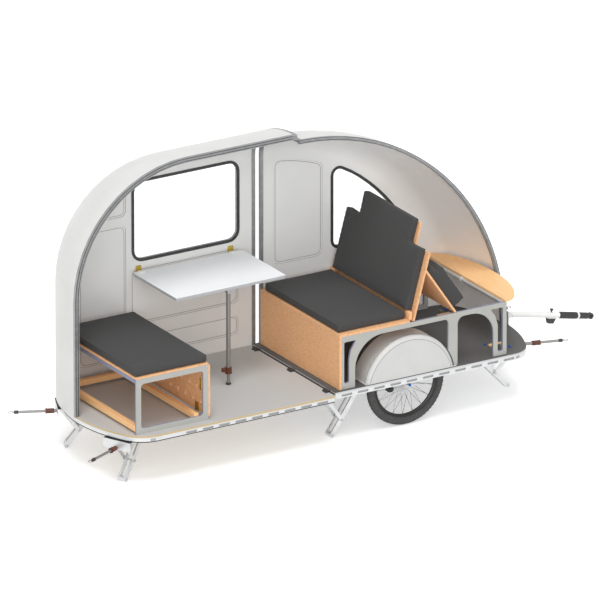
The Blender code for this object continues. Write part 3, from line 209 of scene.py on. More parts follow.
def only(*pieces):
    """Select these pieces and no others, with the first one active."""
    bpy.ops.object.select_all(action="DESELECT")
    for piece in pieces:
        piece.select_set(True)
    bpy.context.view_layer.objects.active = pieces[0]


def copy_of(piece):
    """A copy of a piece with a mesh of its own and no parent."""
    other = piece.copy()
    other.data = piece.data.copy()
    other.parent = None
    bpy.context.scene.collection.objects.link(other)
    return other


def joined(*pieces):
    """Several modelled parts as one piece."""
    only(*pieces)
    bpy.ops.object.join()
    return bpy.context.object


def put(name, finish, body="camper", smooth=40):
    """Name what was just modelled, put its place in its mesh, dress it and hang it on a body."""
    piece = bpy.context.object
    only(piece)
    bpy.ops.object.transform_apply()
    bpy.ops.object.shade_smooth_by_angle(angle=radians(smooth))
    piece.name = piece.data.name = name
    piece.data.materials.clear()
    piece.data.materials.append(finish)
    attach(piece, body)
    bpy.ops.object.select_all(action="DESELECT")
    return piece


def as_line(piece, radius):
    """Turn loose edges or a curve into a thin round line of mesh."""
    only(piece)
    if piece.type == "MESH":
        bpy.ops.object.convert(target="CURVE")
    curve = bpy.context.object.data
    curve.dimensions = "3D"
    curve.bevel_depth, curve.bevel_resolution, curve.use_fill_caps = radius, 1, True
    bpy.ops.object.convert(target="MESH")
    return bpy.context.object


# A dull mid grey line with faint patches of 25 mm, laid as painted shade round the wall panels. One
# runs round the foot of each wall panel's edge and another round the panel a little inside it.
shade_and_edge_line, shader, add, place = surface("grey_line_for_shade_and_edges", "#6A6A69", 0.6)
tone = mottle(add, place, 40.0, 2.0, (0.0, "#606060"), (1.0, "#747473"))
feed(shader, Base_Color=tone)
SHADE_LINE_RADIUS, SMALLER_BY = 0.0013, 0.024
# Painted shade: dark grey lines round each panel stand for the shade at the panel's step.
for shell, panel_y in (("rear_shell", 0.4895), ("front_shell", 0.4595)):
    piece = copy_of(nodes[shell])
    only(piece)
    bpy.context.tool_settings.mesh_select_mode = (False, False, True)
    for face in piece.data.polygons:
        face.select = abs(face.center.y - panel_y) < 0.0004 and abs(face.normal.y) > 0.99
    bpy.ops.object.mode_set(mode="EDIT")
    bpy.ops.mesh.select_mode(type="FACE")
    bpy.ops.mesh.select_all(action="INVERT")
    bpy.ops.mesh.delete(type="FACE")
    bpy.ops.mesh.select_all(action="SELECT")
    bpy.ops.mesh.remove_doubles(threshold=0.00005)
    bpy.ops.mesh.dissolve_limited(angle_limit=0.01)
    bpy.ops.mesh.separate(type="LOOSE")
    bpy.ops.object.mode_set(mode="OBJECT")
    lines = []
    for panel in list(bpy.context.selected_objects):
        low, high = [Vector([pick(v.co[k] for v in panel.data.vertices) for k in range(3)])
                     for pick in (min, max)]
        middle, (wide, _, tall) = (low + high) / 2, high - low
        twin = copy_of(panel)
        shrink = Matrix.Diagonal(((wide - SMALLER_BY) / wide, 1, (tall - SMALLER_BY) / tall, 1))
        twin.data.transform(Matrix.Translation(middle) @ shrink @ Matrix.Translation(-middle))
        for outline in (panel, twin):
            only(outline)
            bpy.ops.object.mode_set(mode="EDIT")
            bpy.ops.mesh.select_all(action="SELECT")
            bpy.ops.mesh.delete(type="ONLY_FACE")
            bpy.ops.object.mode_set(mode="OBJECT")
            lines.append(as_line(outline, SHADE_LINE_RADIUS))
    joined(*lines)
    put(shell + "_panel_shade_lines", shade_and_edge_line)

# Frames of the shells
# Aluminium joint profiles, drawn and then bent along the cut edge of each half and round the seam,
# with two gaskets in their grooves. Rivets every 150 mm hold them to the laminate behind.

SEAM_X = -0.22149
ROOF_Z, REAR_LENGTH, FLOOR_TOP = 1.788, 1.488, 0.318
# Each bend: the x and z of its middle, its outer radius, and the way it turns from the top.
REAR_BEND = (SEAM_X - 0.718, 1.018, 0.770, -1)
NOSE_BEND = (SEAM_X + 0.046, 0.326, 1.424, 1)
RIVETS_SUNK = 0.013

# Anodised aluminium, drawn: mid grey and satin, with a slightly uneven oxide in patches of 40 mm.
rail_metal, shader, add, place = surface("anodised_rail_profile", "#9A9B9C", 0.42, Metallic=0.7)
cloud = add("TexNoise", {"Scale": 25.0, "Detail": 3.0}, {"Vector": place})
tone = add("ValToRGB", None, {"Fac": cloud}, ((0.3, "#929394"), (0.7, "#A2A3A4")))
gloss = add("MapRange", {"To Min": 0.36, "To Max": 0.5}, {"Value": cloud})
feed(shader, Base_Color=tone, Roughness=gloss)
dress(["rear_shell_frame", "front_shell_frame"], rail_metal)

# Zinc plated steel: brighter and a little blue, with the spangle of the bath at 3 mm.
zinc, shader, add, place = surface("zinc_plated_steel", "#B9BDC2", 0.32, Metallic=0.9)
spangle = add("TexVoronoi", {"Scale": 330.0}, {"Vector": place})
gloss = add("MapRange", {"To Min": 0.26, "To Max": 0.42}, {"Value": spangle})
feed(shader, Roughness=gloss)


def eased(piece, width, segments=2):
    """Ease the sharp edges and keep the result."""
    bevel = piece.modifiers.new("eased_edges", "BEVEL")
    bevel.width, bevel.segments = width, segments
    bevel.limit_method, bevel.angle_limit = "ANGLE", radians(40)
    bpy.ops.object.modifier_apply(modifier=bevel.name)


def rivet_head(radius, height):
    """A domed head with its pin hole, standing on the origin."""
    bpy.ops.mesh.primitive_cylinder_add(vertices=12, radius=radius, depth=height,
                                        location=(0, 0, height / 2))
    piece = bpy.context.object
    bpy.ops.object.transform_apply()
    for face in piece.data.polygons:
        face.select = face.normal.z > 0.9
    bpy.ops.object.mode_set(mode="EDIT")
    bpy.ops.mesh.select_mode(type="FACE")
    for inset, rise in ((0.28, 0.35), (0.36, -0.5)):
        bpy.ops.mesh.inset(thickness=radius * inset)
        bpy.ops.transform.translate(value=(0, 0, height * rise))
    bpy.ops.object.mode_set(mode="OBJECT")
    return piece


def spread(piece, places):
    """Copies of a piece at (point, axis) pairs, joined into one; the first one modelled is used up."""
    made = []
    for point, axis in places:
        turn = Vector(axis).to_track_quat("Z", "Y").to_matrix().to_4x4()
        made.append(copy_of(piece))
        made[-1].data.transform(Matrix.Translation(Vector(point)) @ turn)
    bpy.data.objects.remove(piece, do_unlink=True)
    return joined(*made)


def on_bend(bend, angle, sunk, y=0.0):
    """A point on the bend of a shell's edge, this far inside it."""
    x, z, radius, way = bend
    return x + way * (radius - sunk) * sin(angle), y, z + (radius - sunk) * cos(angle)


places = [(SEAM_X - 0.05 - 0.15 * k, 0.0, ROOF_Z - RIVETS_SUNK) for k in range(5)]
places += [on_bend(REAR_BEND, 0.2 * k, RIVETS_SUNK) for k in range(8)]
places += [(SEAM_X - REAR_LENGTH + RIVETS_SUNK, 0.0, REAR_BEND[1] - 0.15 * k) for k in range(5)]
spread(rivet_head(0.003, 0.0016), [(point, (0, -1, 0)) for point in places])
put("rear_rail_rivets", zinc)
places = [on_bend(NOSE_BEND, 0.06 + 0.11 * k, RIVETS_SUNK) for k in range(14)]
spread(rivet_head(0.003, 0.0016), [(point, (0, -1, 0)) for point in places])
put("front_rail_rivets", zinc)

# EPDM rubber, extruded: dull black with a slight sheen and a grey bloom in patches of 30 mm.
epdm, shader, add, place = surface("extruded_epdm_rubber", "#3C3C3C", 0.6, IOR=1.52)
bloom = add("TexNoise", {"Scale": 33.0, "Detail": 4.0}, {"Vector": place})
tone = add("ValToRGB", None, {"Fac": bloom}, ((0.35, "#2E2E2E"), (0.7, "#3E3E3E")))
gloss = add("MapRange", {"To Min": 0.52, "To Max": 0.68}, {"Value": bloom})
feed(shader, Base_Color=tone, Roughness=gloss)


def line_through(points, radius, kind="POLY"):
    """A thin round line from point to point, or a smooth one led by them."""
    data = bpy.data.curves.new("line", "CURVE")
    spline = data.splines.new(kind)
    spline.points.add(len(points) - 1)
    for knot, at in zip(spline.points, points):
        knot.co = (*at, 1.0)
    spline.use_endpoint_u, spline.order_u, spline.resolution_u = True, 4, 6
    line = bpy.data.objects.new("line", data)
    bpy.context.scene.collection.objects.link(line)
    return as_line(line, radius)


# Two thin gaskets lie in the grooves of each rail, the one near its outer edge, the other inside.
PROUD_Y = -0.0006
for sunk, side_name in ((0.0045, "outer"), (0.0215, "inner")):
    rear_path = [(SEAM_X - 0.004, PROUD_Y, ROOF_Z - sunk)]
    rear_path += [on_bend(REAR_BEND, pi / 2 * k / 32, sunk, PROUD_Y) for k in range(33)]
    rear_path += [(SEAM_X - REAR_LENGTH + sunk, PROUD_Y, FLOOR_TOP)]
    front_path = [on_bend(NOSE_BEND, -0.01 + 1.555 * k / 48, sunk, PROUD_Y) for k in range(49)]
    for name, path in (("rear", rear_path), ("front", front_path)):
        line_through(path, 0.0017)
        put("%s_rail_gasket_%s" % (name, side_name), epdm)

# Windows
# Fixed panes of clear acrylic in the side walls, held by a rubber profile pressed round the edge.

dress(["rear_window_seal", "front_window_seal"], epdm)

# Cast acrylic: clear and glossy, with the faintest waviness of the sheet (60 mm).
acrylic, shader, add, place = surface("cast_acrylic_sheet", "#F7FAFA", 0.02, IOR=1.49,
                                      Transmission_Weight=1.0)
wave = add("TexNoise", {"Scale": 16.0, "Detail": 0.0}, {"Vector": place})
sway = add("Bump", {"Strength": 0.02, "Distance": 0.001}, {"Height": wave})
feed(shader, Normal=sway)
dress(["rear_window_pane", "front_window_pane"], acrylic)

# Rear floor and its rim
# A film faced plywood board with its layers bare at the edge, on a rim of aluminium profile with
# lashing slots along its sides. A rubber lip runs along the foot of the rim.

# Phenolic film on plywood: mid grey with a fine speckle (2 mm) above, and tan layers 1.5 mm thick
# on the edge.
floor_board, shader, add, place = surface("film_faced_plywood", "#BDBDBD", 0.55)
height = add("SeparateXYZ", None, {0: place}).outputs["Z"]
film = mottle(add, place, 500.0, 2.0, (0.3, "#B8B8B7"), (0.7, "#C2C2C1"))
level = add("Math", {"operation": "MULTIPLY", 1: 2 * pi / 0.003}, {0: height})
layers = add("Math", {"operation": "SINE"}, {0: level})
ply = add("ValToRGB", None, {"Fac": layers}, ((0.0, "#BCA67C"), (1.0, "#CDB98E")))
edge = add("Math", {"operation": "LESS_THAN", 1: 0.3138}, {0: height})
colour = add("Mix", {"data_type": "RGBA"}, {"Factor": edge, 6: film, 7: ply})
feed(shader, Base_Color=colour.outputs[2])
dress(["rear_floor"], floor_board)

# Anodised aluminium, drawn: pale grey and satin. The slots carry painted shade where the wall lies
# behind the outer face, and the rear rim has a black lip along its foot. The front one has none (0).
SLOT_HALF, LIP_HALF, BEHIND_FACE = 0.0080, 0.0030, 0.0035
for name, face_y, slot_z, lip_z in (("rear_rim", 0.4832, 0.2867, 0.2745),
                                    ("front_rim", 0.468, 0.2987, 0.0)):
    rim_metal, shader, add, place = surface("anodised_" + name, "#D6D7D8", 0.40, Metallic=0.6)
    parts = add("SeparateXYZ", None, {0: place})
    tone = mottle(add, place, 25.0, 3.0, (0.0, "#CFD0D1"), (1.0, "#DDDEDF"))
    out = add("Math", {"operation": "ABSOLUTE"}, {0: parts.outputs["Y"]})
    behind = add("Math", {"operation": "COMPARE", 1: face_y - BEHIND_FACE, 2: 0.0026}, {0: out})
    band, lip = [add("Math", {"operation": "COMPARE", 1: z, 2: half}, {0: parts.outputs["Z"]})
                 for z, half in ((slot_z, SLOT_HALF), (lip_z, LIP_HALF))]
    # Painted shade in the slots: a grey where the wall lies behind the outer face.
    slot_painted_shade = add("Math", {"operation": "MULTIPLY"}, {0: behind, 1: band})
    shaded = add("Mix", {"data_type": "RGBA", 7: linear("#A4A4A4")}, {"Factor": slot_painted_shade, 6: tone})
    lipped = add("Mix", {"data_type": "RGBA", 7: linear("#2E2E2E")}, {"Factor": lip, 6: shaded.outputs[2]})
    feed(shader, Base_Color=lipped.outputs[2])
    dress([name], rim_metal)

# Front deck
# A dark board of the same plywood with a light aluminium edging, slotted over the two wheels.

# Phenolic film on plywood: dark grey with the same fine speckle, and a pale metal band at its edge.
deck_board, shader, add, place = surface("dark_film_faced_plywood", "#555555", 0.6)
height = add("SeparateXYZ", None, {0: place}).outputs["Z"]
film = mottle(add, place, 500.0, 2.0, (0.3, "#4E4E4E"), (0.7, "#5C5C5C"))
edge = add("Math", {"operation": "LESS_THAN", 1: 0.3235}, {0: height})
colour = add("Mix", {"data_type": "RGBA", 7: linear("#C9CACB")}, {"Factor": edge, 6: film})
feed(shader, Base_Color=colour.outputs[2])
dress(["front_deck"], deck_board)

# Seam hinge
# Moulded nylon hinge blocks along the seam let the rear section fold over the front one.

# Glass filled nylon, moulded: near black, matt, with the fine grain of the filler at 2 mm.
nylon, shader, add, place = surface("moulded_black_nylon", "#2A2A2A", 0.55, IOR=1.53)
filler = add("TexNoise", {"Scale": 500.0, "Detail": 2.0}, {"Vector": place})
tone = add("ValToRGB", None, {"Fac": filler}, ((0.0, "#232323"), (1.0, "#323232")))
grain = add("Bump", {"Strength": 0.12, "Distance": 0.0003}, {"Height": filler})
feed(shader, Base_Color=tone, Normal=grain)
dress(["seam_hinge", "axle_beam", "drawbar_grip", "hitch_head"], nylon)

# Wheels
# Spoked wheels with a black box rim, a brake disc on the inner side and plain black tyres with a
# low block tread. The spokes end in brass nipples in the rim, and a valve stands between two.

SIDES = (("near", -1), ("far", 1))
AXLE_X, AXLE_Z = SEAM_X + 0.533, 0.262
TYRE_RADIUS = 0.262

# Tyre rubber, moulded: dark grey and dull, dustier on the tread, with a fine grain at 3 mm.
tyre_rubber, shader, add, place = surface("vulcanised_tyre_rubber", "#454545", 0.82, IOR=1.52)
tone = mottle(add, place, 60.0, 4.0, (0.3, "#3C3C3C"), (0.75, "#4C4B4A"))
grit = add("TexNoise", {"Scale": 330.0, "Detail": 2.0}, {"Vector": place})
grain = add("Bump", {"Strength": 0.2, "Distance": 0.0004}, {"Height": grit})
feed(shader, Base_Color=tone, Normal=grain)
dress(["tyre_near", "tyre_far"], tyre_rubber)

# Wheel metal: bright disc and hub, dull stainless spokes, and a black anodised rim, told apart
# by the distance from the axle, with scuffs of 11 mm in their gloss.
wheel_metal, shader, add, place = surface("wheel_metal", "#B8B8B8", 0.38, Metallic=0.6)
centred = add("Mapping", {"Location": (-AXLE_X, 0.0, -AXLE_Z)}, {"Vector": place})
parts = add("SeparateXYZ", None, {0: centred})
flat = add("CombineXYZ", None, {0: parts.outputs[0], 1: parts.outputs[2]})
out = add("VectorMath", {"operation": "LENGTH"}, {0: flat})
share = add("Math", {"operation": "MULTIPLY", 1: 4.0}, {0: out.outputs["Value"]})
tone = add("ValToRGB", None, {"Fac": share}, (
    (0.0, "#C6C7C8"), (0.29, "#3C3C3C"), (0.79, "#303030")))
tone.color_ramp.interpolation = "CONSTANT"
scuff = add("TexNoise", {"Scale": 90.0, "Detail": 3.0}, {"Vector": place})
gloss = add("MapRange", {"To Min": 0.3, "To Max": 0.5}, {"Value": scuff})
feed(shader, Base_Color=tone, Roughness=gloss)
dress(["wheel_near", "wheel_far"], wheel_metal)

# Brass, turned or stamped: warm yellow, slightly tarnished in patches of 8 mm.
brass, shader, add, place = surface("stamped_brass", "#B89A24", 0.38, Metallic=0.75)
tone = mottle(add, place, 125.0, 3.0, (0.3, "#A08614"), (0.7, "#C4A838"))
feed(shader, Base_Color=tone)

# Blue anodised aluminium: a clear, satin blue with fine turning marks at 2 mm.
blue_metal, shader, add, place = surface("blue_anodised_aluminium", "#1D5FC4", 0.35, Metallic=0.6)
tone = mottle(add, place, 500.0, 2.0, (0.0, "#1A57B6"), (1.0, "#2468D2"))
feed(shader, Base_Color=tone)


def brick(corner, other_corner, edge, segments=2):
    """A block between two opposite corners with its edges eased."""
    corner, other_corner = Vector(corner), Vector(other_corner)
    bpy.ops.mesh.primitive_cube_add(size=1, location=(corner + other_corner) / 2)
    piece = bpy.context.object
    piece.scale = [abs(length) for length in other_corner - corner]
    bpy.ops.object.transform_apply()
    if edge:
        eased(piece, edge, segments)
    return piece


def bar(start, end, radius, sides=16, edge=0.0):
    """A round bar between two points with its rims eased."""
    start, end = Vector(start), Vector(end)
    bpy.ops.mesh.primitive_cylinder_add(vertices=sides, radius=radius, depth=(end - start).length,
                                        location=(start + end) / 2)
    piece = bpy.context.object
    piece.rotation_euler = (end - start).to_track_quat("Z", "Y").to_euler()
    bpy.ops.object.transform_apply()
    if edge:
        eased(piece, edge)
    return piece


BLOCKS_ROUND, ROW_LEAN, NIPPLES_A_FLANK = 64, 0.42, 18
for side_name, side in SIDES:
    body = "wheel_" + side_name
    hub = Vector((AXLE_X, side * 0.390, AXLE_Z))
    blocks = []
    for k in range(BLOCKS_ROUND):
        for row, shift in ((-1, 0.5), (0, 0.0), (1, 0.5)):
            a = 2 * pi * (k + shift) / BLOCKS_ROUND
            lean = row * ROW_LEAN
            out = Vector((cos(a) * cos(lean), sin(lean), sin(a) * cos(lean)))
            blocks.append((hub + Vector((cos(a), 0, sin(a))) * (TYRE_RADIUS - 0.0245) + out * 0.0243, out))
    spread(brick((-0.0072, -0.0034, -0.0012), (0.0072, 0.0034, 0.0011), 0.0007, 1), blocks)
    put("tyre_tread_" + side_name, tyre_rubber, body)
    for flank, name in ((-1, "left"), (1, "right")):
        bpy.ops.mesh.primitive_torus_add(major_radius=0.2215, minor_radius=0.0022,
                                         major_segments=96, minor_segments=8, rotation=(pi / 2, 0, 0),
                                         location=hub + Vector((0, flank * 0.0158, 0)))
        put("tyre_bead_line_%s_%s" % (side_name, name), tyre_rubber, body)
    places = []
    for flank in (-1, 1):
        for k in range(NIPPLES_A_FLANK):
            a = 2 * pi * (k + 0.5 * (flank > 0)) / NIPPLES_A_FLANK + flank * 0.62
            places.append((hub + Vector((0.2015 * cos(a), flank * 0.0035, 0.2015 * sin(a))),
                           (cos(a), -flank * 0.06, sin(a))))
    bpy.ops.mesh.primitive_cone_add(vertices=8, radius1=0.0016, radius2=0.0024, depth=0.011)
    eased(bpy.context.object, 0.0004, 1)
    spread(bpy.context.object, places)
    put("spoke_nipples_" + side_name, brass, body)
    a = 2 * pi * 0.115
    way = Vector((cos(a), 0, sin(a)))
    joined(bar(hub + way * 0.170, hub + way * 0.206, 0.0028, 12, 0.0004),
           bar(hub + way * 0.166, hub + way * 0.180, 0.0040, 12, 0.0008),
           bar(hub + way * 0.1965, hub + way * 0.2005, 0.0058, 6, 0.0005))
    put("valve_" + side_name, zinc, body)
    bpy.ops.mesh.primitive_cylinder_add(vertices=6, radius=0.0102, depth=0.006, rotation=(pi / 2, 0, 0),
                                        location=hub + Vector((0, side * 0.0465, 0)))
    eased(bpy.context.object, 0.0008)
    put("axle_nut_" + side_name, zinc)
    tip, outwards = hub + Vector((0, side * 0.0495, 0)), Vector((0, side, 0))
    joined(bar(tip, tip + outwards * 0.012, 0.0080, 20, 0.0022),
           bar(tip + outwards * 0.010, tip + outwards * 0.0135, 0.0045, 12, 0.001))
    put("axle_cap_" + side_name, blue_metal)

    # The brake: a calliper in two halves over the disc, on an arm from the axle beam's plate.
    x, z = AXLE_X - 0.066, AXLE_Z - 0.044
    joined(brick((x - 0.024, side * 0.3230, z - 0.016), (x + 0.016, side * 0.3495, z + 0.018), 0.005, 3),
           brick((x - 0.024, side * 0.3580, z - 0.014), (x - 0.002, side * 0.3655, z + 0.012), 0.002),
           brick((x - 0.030, side * 0.3230, z - 0.013), (x - 0.017, side * 0.3655, z + 0.011), 0.003),
           brick((x, side * 0.3185, z - 0.008), (AXLE_X + 0.012, side * 0.3260, z + 0.024), 0.004, 3),
           bar((x - 0.006, side * 0.318, z), (x - 0.006, side * 0.3245, z), 0.010, 20, 0.002))
    put("brake_calliper_" + side_name, nylon)

# Wheel housings
# Drums of thermoformed plastic over each wheel, on a thin flange on the deck. A fine grey line
# runs along each edge of the drum's shoulder.

# Thermoformed plastic sheet: white, satin, with a grain at 4 mm, painted a shade greyer than the cabin as
# painted shade.
drum_sheet, shader, add, place = surface("thermoformed_white_sheet", "#CACAC8", 0.45, IOR=1.5)
peel = add("TexNoise", {"Scale": 250.0, "Detail": 2.0}, {"Vector": place})
tone = mottle(add, place, 9.0, 2.0, (0.0, "#C6C6C4"), (1.0, "#CECECC"))
skin = add("Bump", {"Strength": 0.08, "Distance": 0.0004}, {"Height": peel})
feed(shader, Base_Color=tone, Normal=skin)
dress(["housing_near", "housing_far"], drum_sheet)
FLANGE_OUT = 0.010
for side_name, side in SIDES:
    low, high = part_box("housing_" + side_name)
    bpy.ops.mesh.primitive_plane_add(size=1, location=((low.x + high.x) / 2, (low.y + high.y) / 2, 0.3265))
    ring = bpy.context.object
    ring.scale = (high.x - low.x + 2 * FLANGE_OUT, high.y - low.y + 2 * FLANGE_OUT, 1)
    bpy.ops.object.transform_apply()
    bpy.ops.object.mode_set(mode="EDIT")
    bpy.ops.mesh.select_all(action="SELECT")
    bpy.ops.mesh.inset(thickness=FLANGE_OUT + 0.0002)
    bpy.ops.mesh.delete(type="FACE")
    bpy.ops.mesh.select_all(action="SELECT")
    bpy.ops.mesh.extrude_region_move(TRANSFORM_OT_translate={"value": (0, 0, 0.0025)})
    bpy.ops.mesh.select_all(action="SELECT")
    bpy.ops.mesh.normals_make_consistent(inside=False)
    bpy.ops.object.mode_set(mode="OBJECT")
    eased(ring, 0.0008)
    put("housing_flange_" + side_name, drum_sheet)
    lines = []
    for radius, y in ((0.3096, 0.4300), (0.2850, 0.4546)):
        turns = [acos(0.066 / radius) * (k / 24 - 1) for k in range(49)]
        arc = [(AXLE_X + radius * sin(a), side * y, AXLE_Z + radius * cos(a)) for a in turns]
        lines.append(line_through(arc, 0.0012))
    joined(*lines)
    put("housing_edge_lines_" + side_name, shade_and_edge_line)

# Bench
# Powder coated steel frames, beech battens and bare chipboard boards, screwed together. The front
# flap has vent holes and swings on two brass hinges at its foot.

# Chipboard: pressed chips 3 to 8 mm long in several browns, raw and matt, with open pores.
chipboard, shader, add, place = surface("bare_chipboard", "#D59E6C", 0.78, IOR=1.5)
bend = add("TexNoise", {"Scale": 90.0, "Detail": 2.0}, {"Vector": place})
moved = add("VectorMath", {"operation": "MULTIPLY_ADD", 1: (0.012, 0.012, 0.012)},
            {0: bend.outputs["Color"], 2: place})
chips = add("TexVoronoi", {"Scale": 190.0}, {"Vector": moved})
value = add("SeparateColor", None, {0: chips.outputs["Color"]})
tone = add("ValToRGB", None, {"Fac": value}, (
    (0.0, "#CC9464"), (0.08, "#DFA876"), (0.3, "#E8B07F"), (0.7, "#ECB788"), (1.0, "#F0C092")))
pores = add("Bump", {"Strength": 0.25, "Distance": 0.0006}, {"Height": chips})
feed(shader, Base_Color=tone, Normal=pores)
dress(["bench_board", "bench_flap", "bed_end_panel", "seat_board", "backrest_board", "prop_board"],
      chipboard)

# Beech, planed and oiled: pale orange with fine grain along each batten (bands 6 mm, flecks 2 mm).
beech, shader, add, place = surface("planed_oiled_beech", "#FFC88C", 0.5, IOR=1.5)
along = add("Mapping", {"Scale": (165.0, 8.0, 165.0)}, {"Vector": place})
rings = add("TexNoise", {"Scale": 1.0, "Detail": 4.0, "Distortion": 0.6}, {"Vector": along})
tone = add("ValToRGB", None, {"Fac": rings}, ((0.3, "#F8C084"), (0.72, "#FFD29A")))
grain = add("Bump", {"Strength": 0.12, "Distance": 0.0004}, {"Height": rings})
feed(shader, Base_Color=tone, Normal=grain)
dress(["bench_battens", "nose_shelf"], beech)

# Powder coat, baked: warm light grey on the flats, satin, with the orange peel of the coat at 3 mm.
# The narrow sides carry painted shade: a darker bluish grey, set by the way each face turns.
powder, shader, add, place = surface("baked_grey_powder_coat", "#ADADA8", 0.5, IOR=1.5)
peel = add("TexNoise", {"Scale": 330.0, "Detail": 1.0}, {"Vector": place})
tone = mottle(add, place, 12.0, 3.0, (0.0, "#A8A8A3"), (1.0, "#B2B2AD"))
skin = add("Bump", {"Strength": 0.12, "Distance": 0.0003}, {"Height": peel})
parts = add("SeparateXYZ", None, {0: add("NewGeometry").outputs["True Normal"]})
flat = add("Math", {"operation": "ABSOLUTE"}, {0: parts.outputs["Y"]})
# Painted shade: every face not turned to a side of the trailer gets the darker bluish grey.
narrow_side_painted_shade = add("Math", {"operation": "LESS_THAN", 1: 0.6}, {0: flat})
colour = add("Mix", {"data_type": "RGBA", 7: linear("#8A8DA2")}, {"Factor": narrow_side_painted_shade, 6: tone})
feed(shader, Base_Color=colour.outputs[2], Normal=skin)
dress(["bench_frame_near", "bench_frame_far", "bench_rear_bar", "couch_frame_near", "couch_frame_far"],
      powder)


def screw_head(radius=0.0042):
    """A countersunk head with a cross recess, standing just proud of the origin."""
    bpy.ops.mesh.primitive_cylinder_add(vertices=16, radius=radius, depth=0.0012, location=(0, 0, 0.0003))
    head = bpy.context.object
    bpy.ops.object.transform_apply()
    eased(head, 0.0004)
    for size in ((radius * 1.15, radius * 0.26, 0.002), (radius * 0.26, radius * 1.15, 0.002)):
        bpy.ops.mesh.primitive_cube_add(size=1, location=(0, 0, 0.0012))
        cutter = bpy.context.object
        cutter.scale = size
        bpy.ops.object.transform_apply()
        bpy.context.view_layer.objects.active = head
        slot = head.modifiers.new("recess", "BOOLEAN")
        slot.operation, slot.solver, slot.object = "DIFFERENCE", "EXACT", cutter
        bpy.ops.object.modifier_apply(modifier=slot.name)
        bpy.data.objects.remove(cutter, do_unlink=True)
    return head


low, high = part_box("bed_end_panel")
backwards = (-1, 0, 0)
places = [((low.x, y, high.z - 0.014), backwards) for y in (-0.43, -0.215, 0.0, 0.215, 0.43)]
places += [((low.x, y, z), backwards) for y in (-0.43, 0.43) for z in (low.z + 0.03, low.z + 0.17)]
spread(screw_head(), places)
put("panel_screws", zinc)
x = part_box("bench_flap")[0].x
places = [((x, y, z), backwards) for y in (-0.31, -0.29, 0.29, 0.31) for z in (0.352, 0.372)]
spread(screw_head(0.0034), places)
put("flap_screws", zinc, "bench_flap")
for name, side in SIDES:
    y = side * 0.30
    joined(brick((x - 0.0018, y - 0.020, 0.338), (x, y + 0.020, 0.386), 0.0008),
           bar((x - 0.0030, y - 0.020, 0.3358), (x - 0.0030, y + 0.020, 0.3358), 0.0030, 16, 0.0005))
    put("flap_hinge_leaf_" + name, brass, "bench_flap")
    joined(brick((x - 0.038, y - 0.018, 0.3275), (x - 0.005, y + 0.018, 0.3295), 0.0008),
           brick((x - 0.012, y - 0.006, 0.3143), (x - 0.005, y + 0.006, 0.3290), 0.001))
    put("flap_hinge_foot_" + name, brass)
    y = side * 0.34
    joined(brick((x - 0.0022, y - 0.007, 0.470), (x, y + 0.007, 0.545), 0.0010),
           bar((x - 0.0045, y, 0.480), (x - 0.0045, y, 0.535), 0.0038, 16, 0.0008))
    put("flap_bolt_" + name, brass, "bench_flap")

# Cushions
# Foam mattresses in sewn covers of dark grey woven polyester. Each is swelled by a cloth
# simulation from its solid, held to its place, and lies flat on the board below it.

# Woven polyester: dull dark grey with a sheen at grazing angles, threads 0.6 mm apart drawn at
# 3 mm, and a faint mottle from the yarn.
cover, shader, add, place = surface("woven_polyester_cover", "#3F3F3F", 0.9, Sheen_Weight=0.03,
                                    Sheen_Roughness=0.5)
warp, weft, rise = [add("TexWave", {"Scale": 105.0, "Distortion": 0.6, "bands_direction": way},
                        {"Vector": place}).outputs["Fac"] for way in "XYZ"]
threads = add("Math", {"operation": "MULTIPLY"}, {0: warp, 1: weft})
woven = add("Math", {"operation": "ADD"}, {0: threads, 1: rise})
tone = mottle(add, place, 160.0, 3.0, (0.3, "#3B3B3B"), (0.7, "#424242"))
weave = add("Bump", {"Strength": 0.14, "Distance": 0.0005}, {"Height": woven})
feed(shader, Base_Color=tone, Normal=weave)

# The cover is drawn in before it swells, and may not swell further than the limit.
DRAWN_IN, SWELL_LIMIT, VOXEL, ABOVE_BED = 0.0040, 0.0065, 0.009, 0.0003


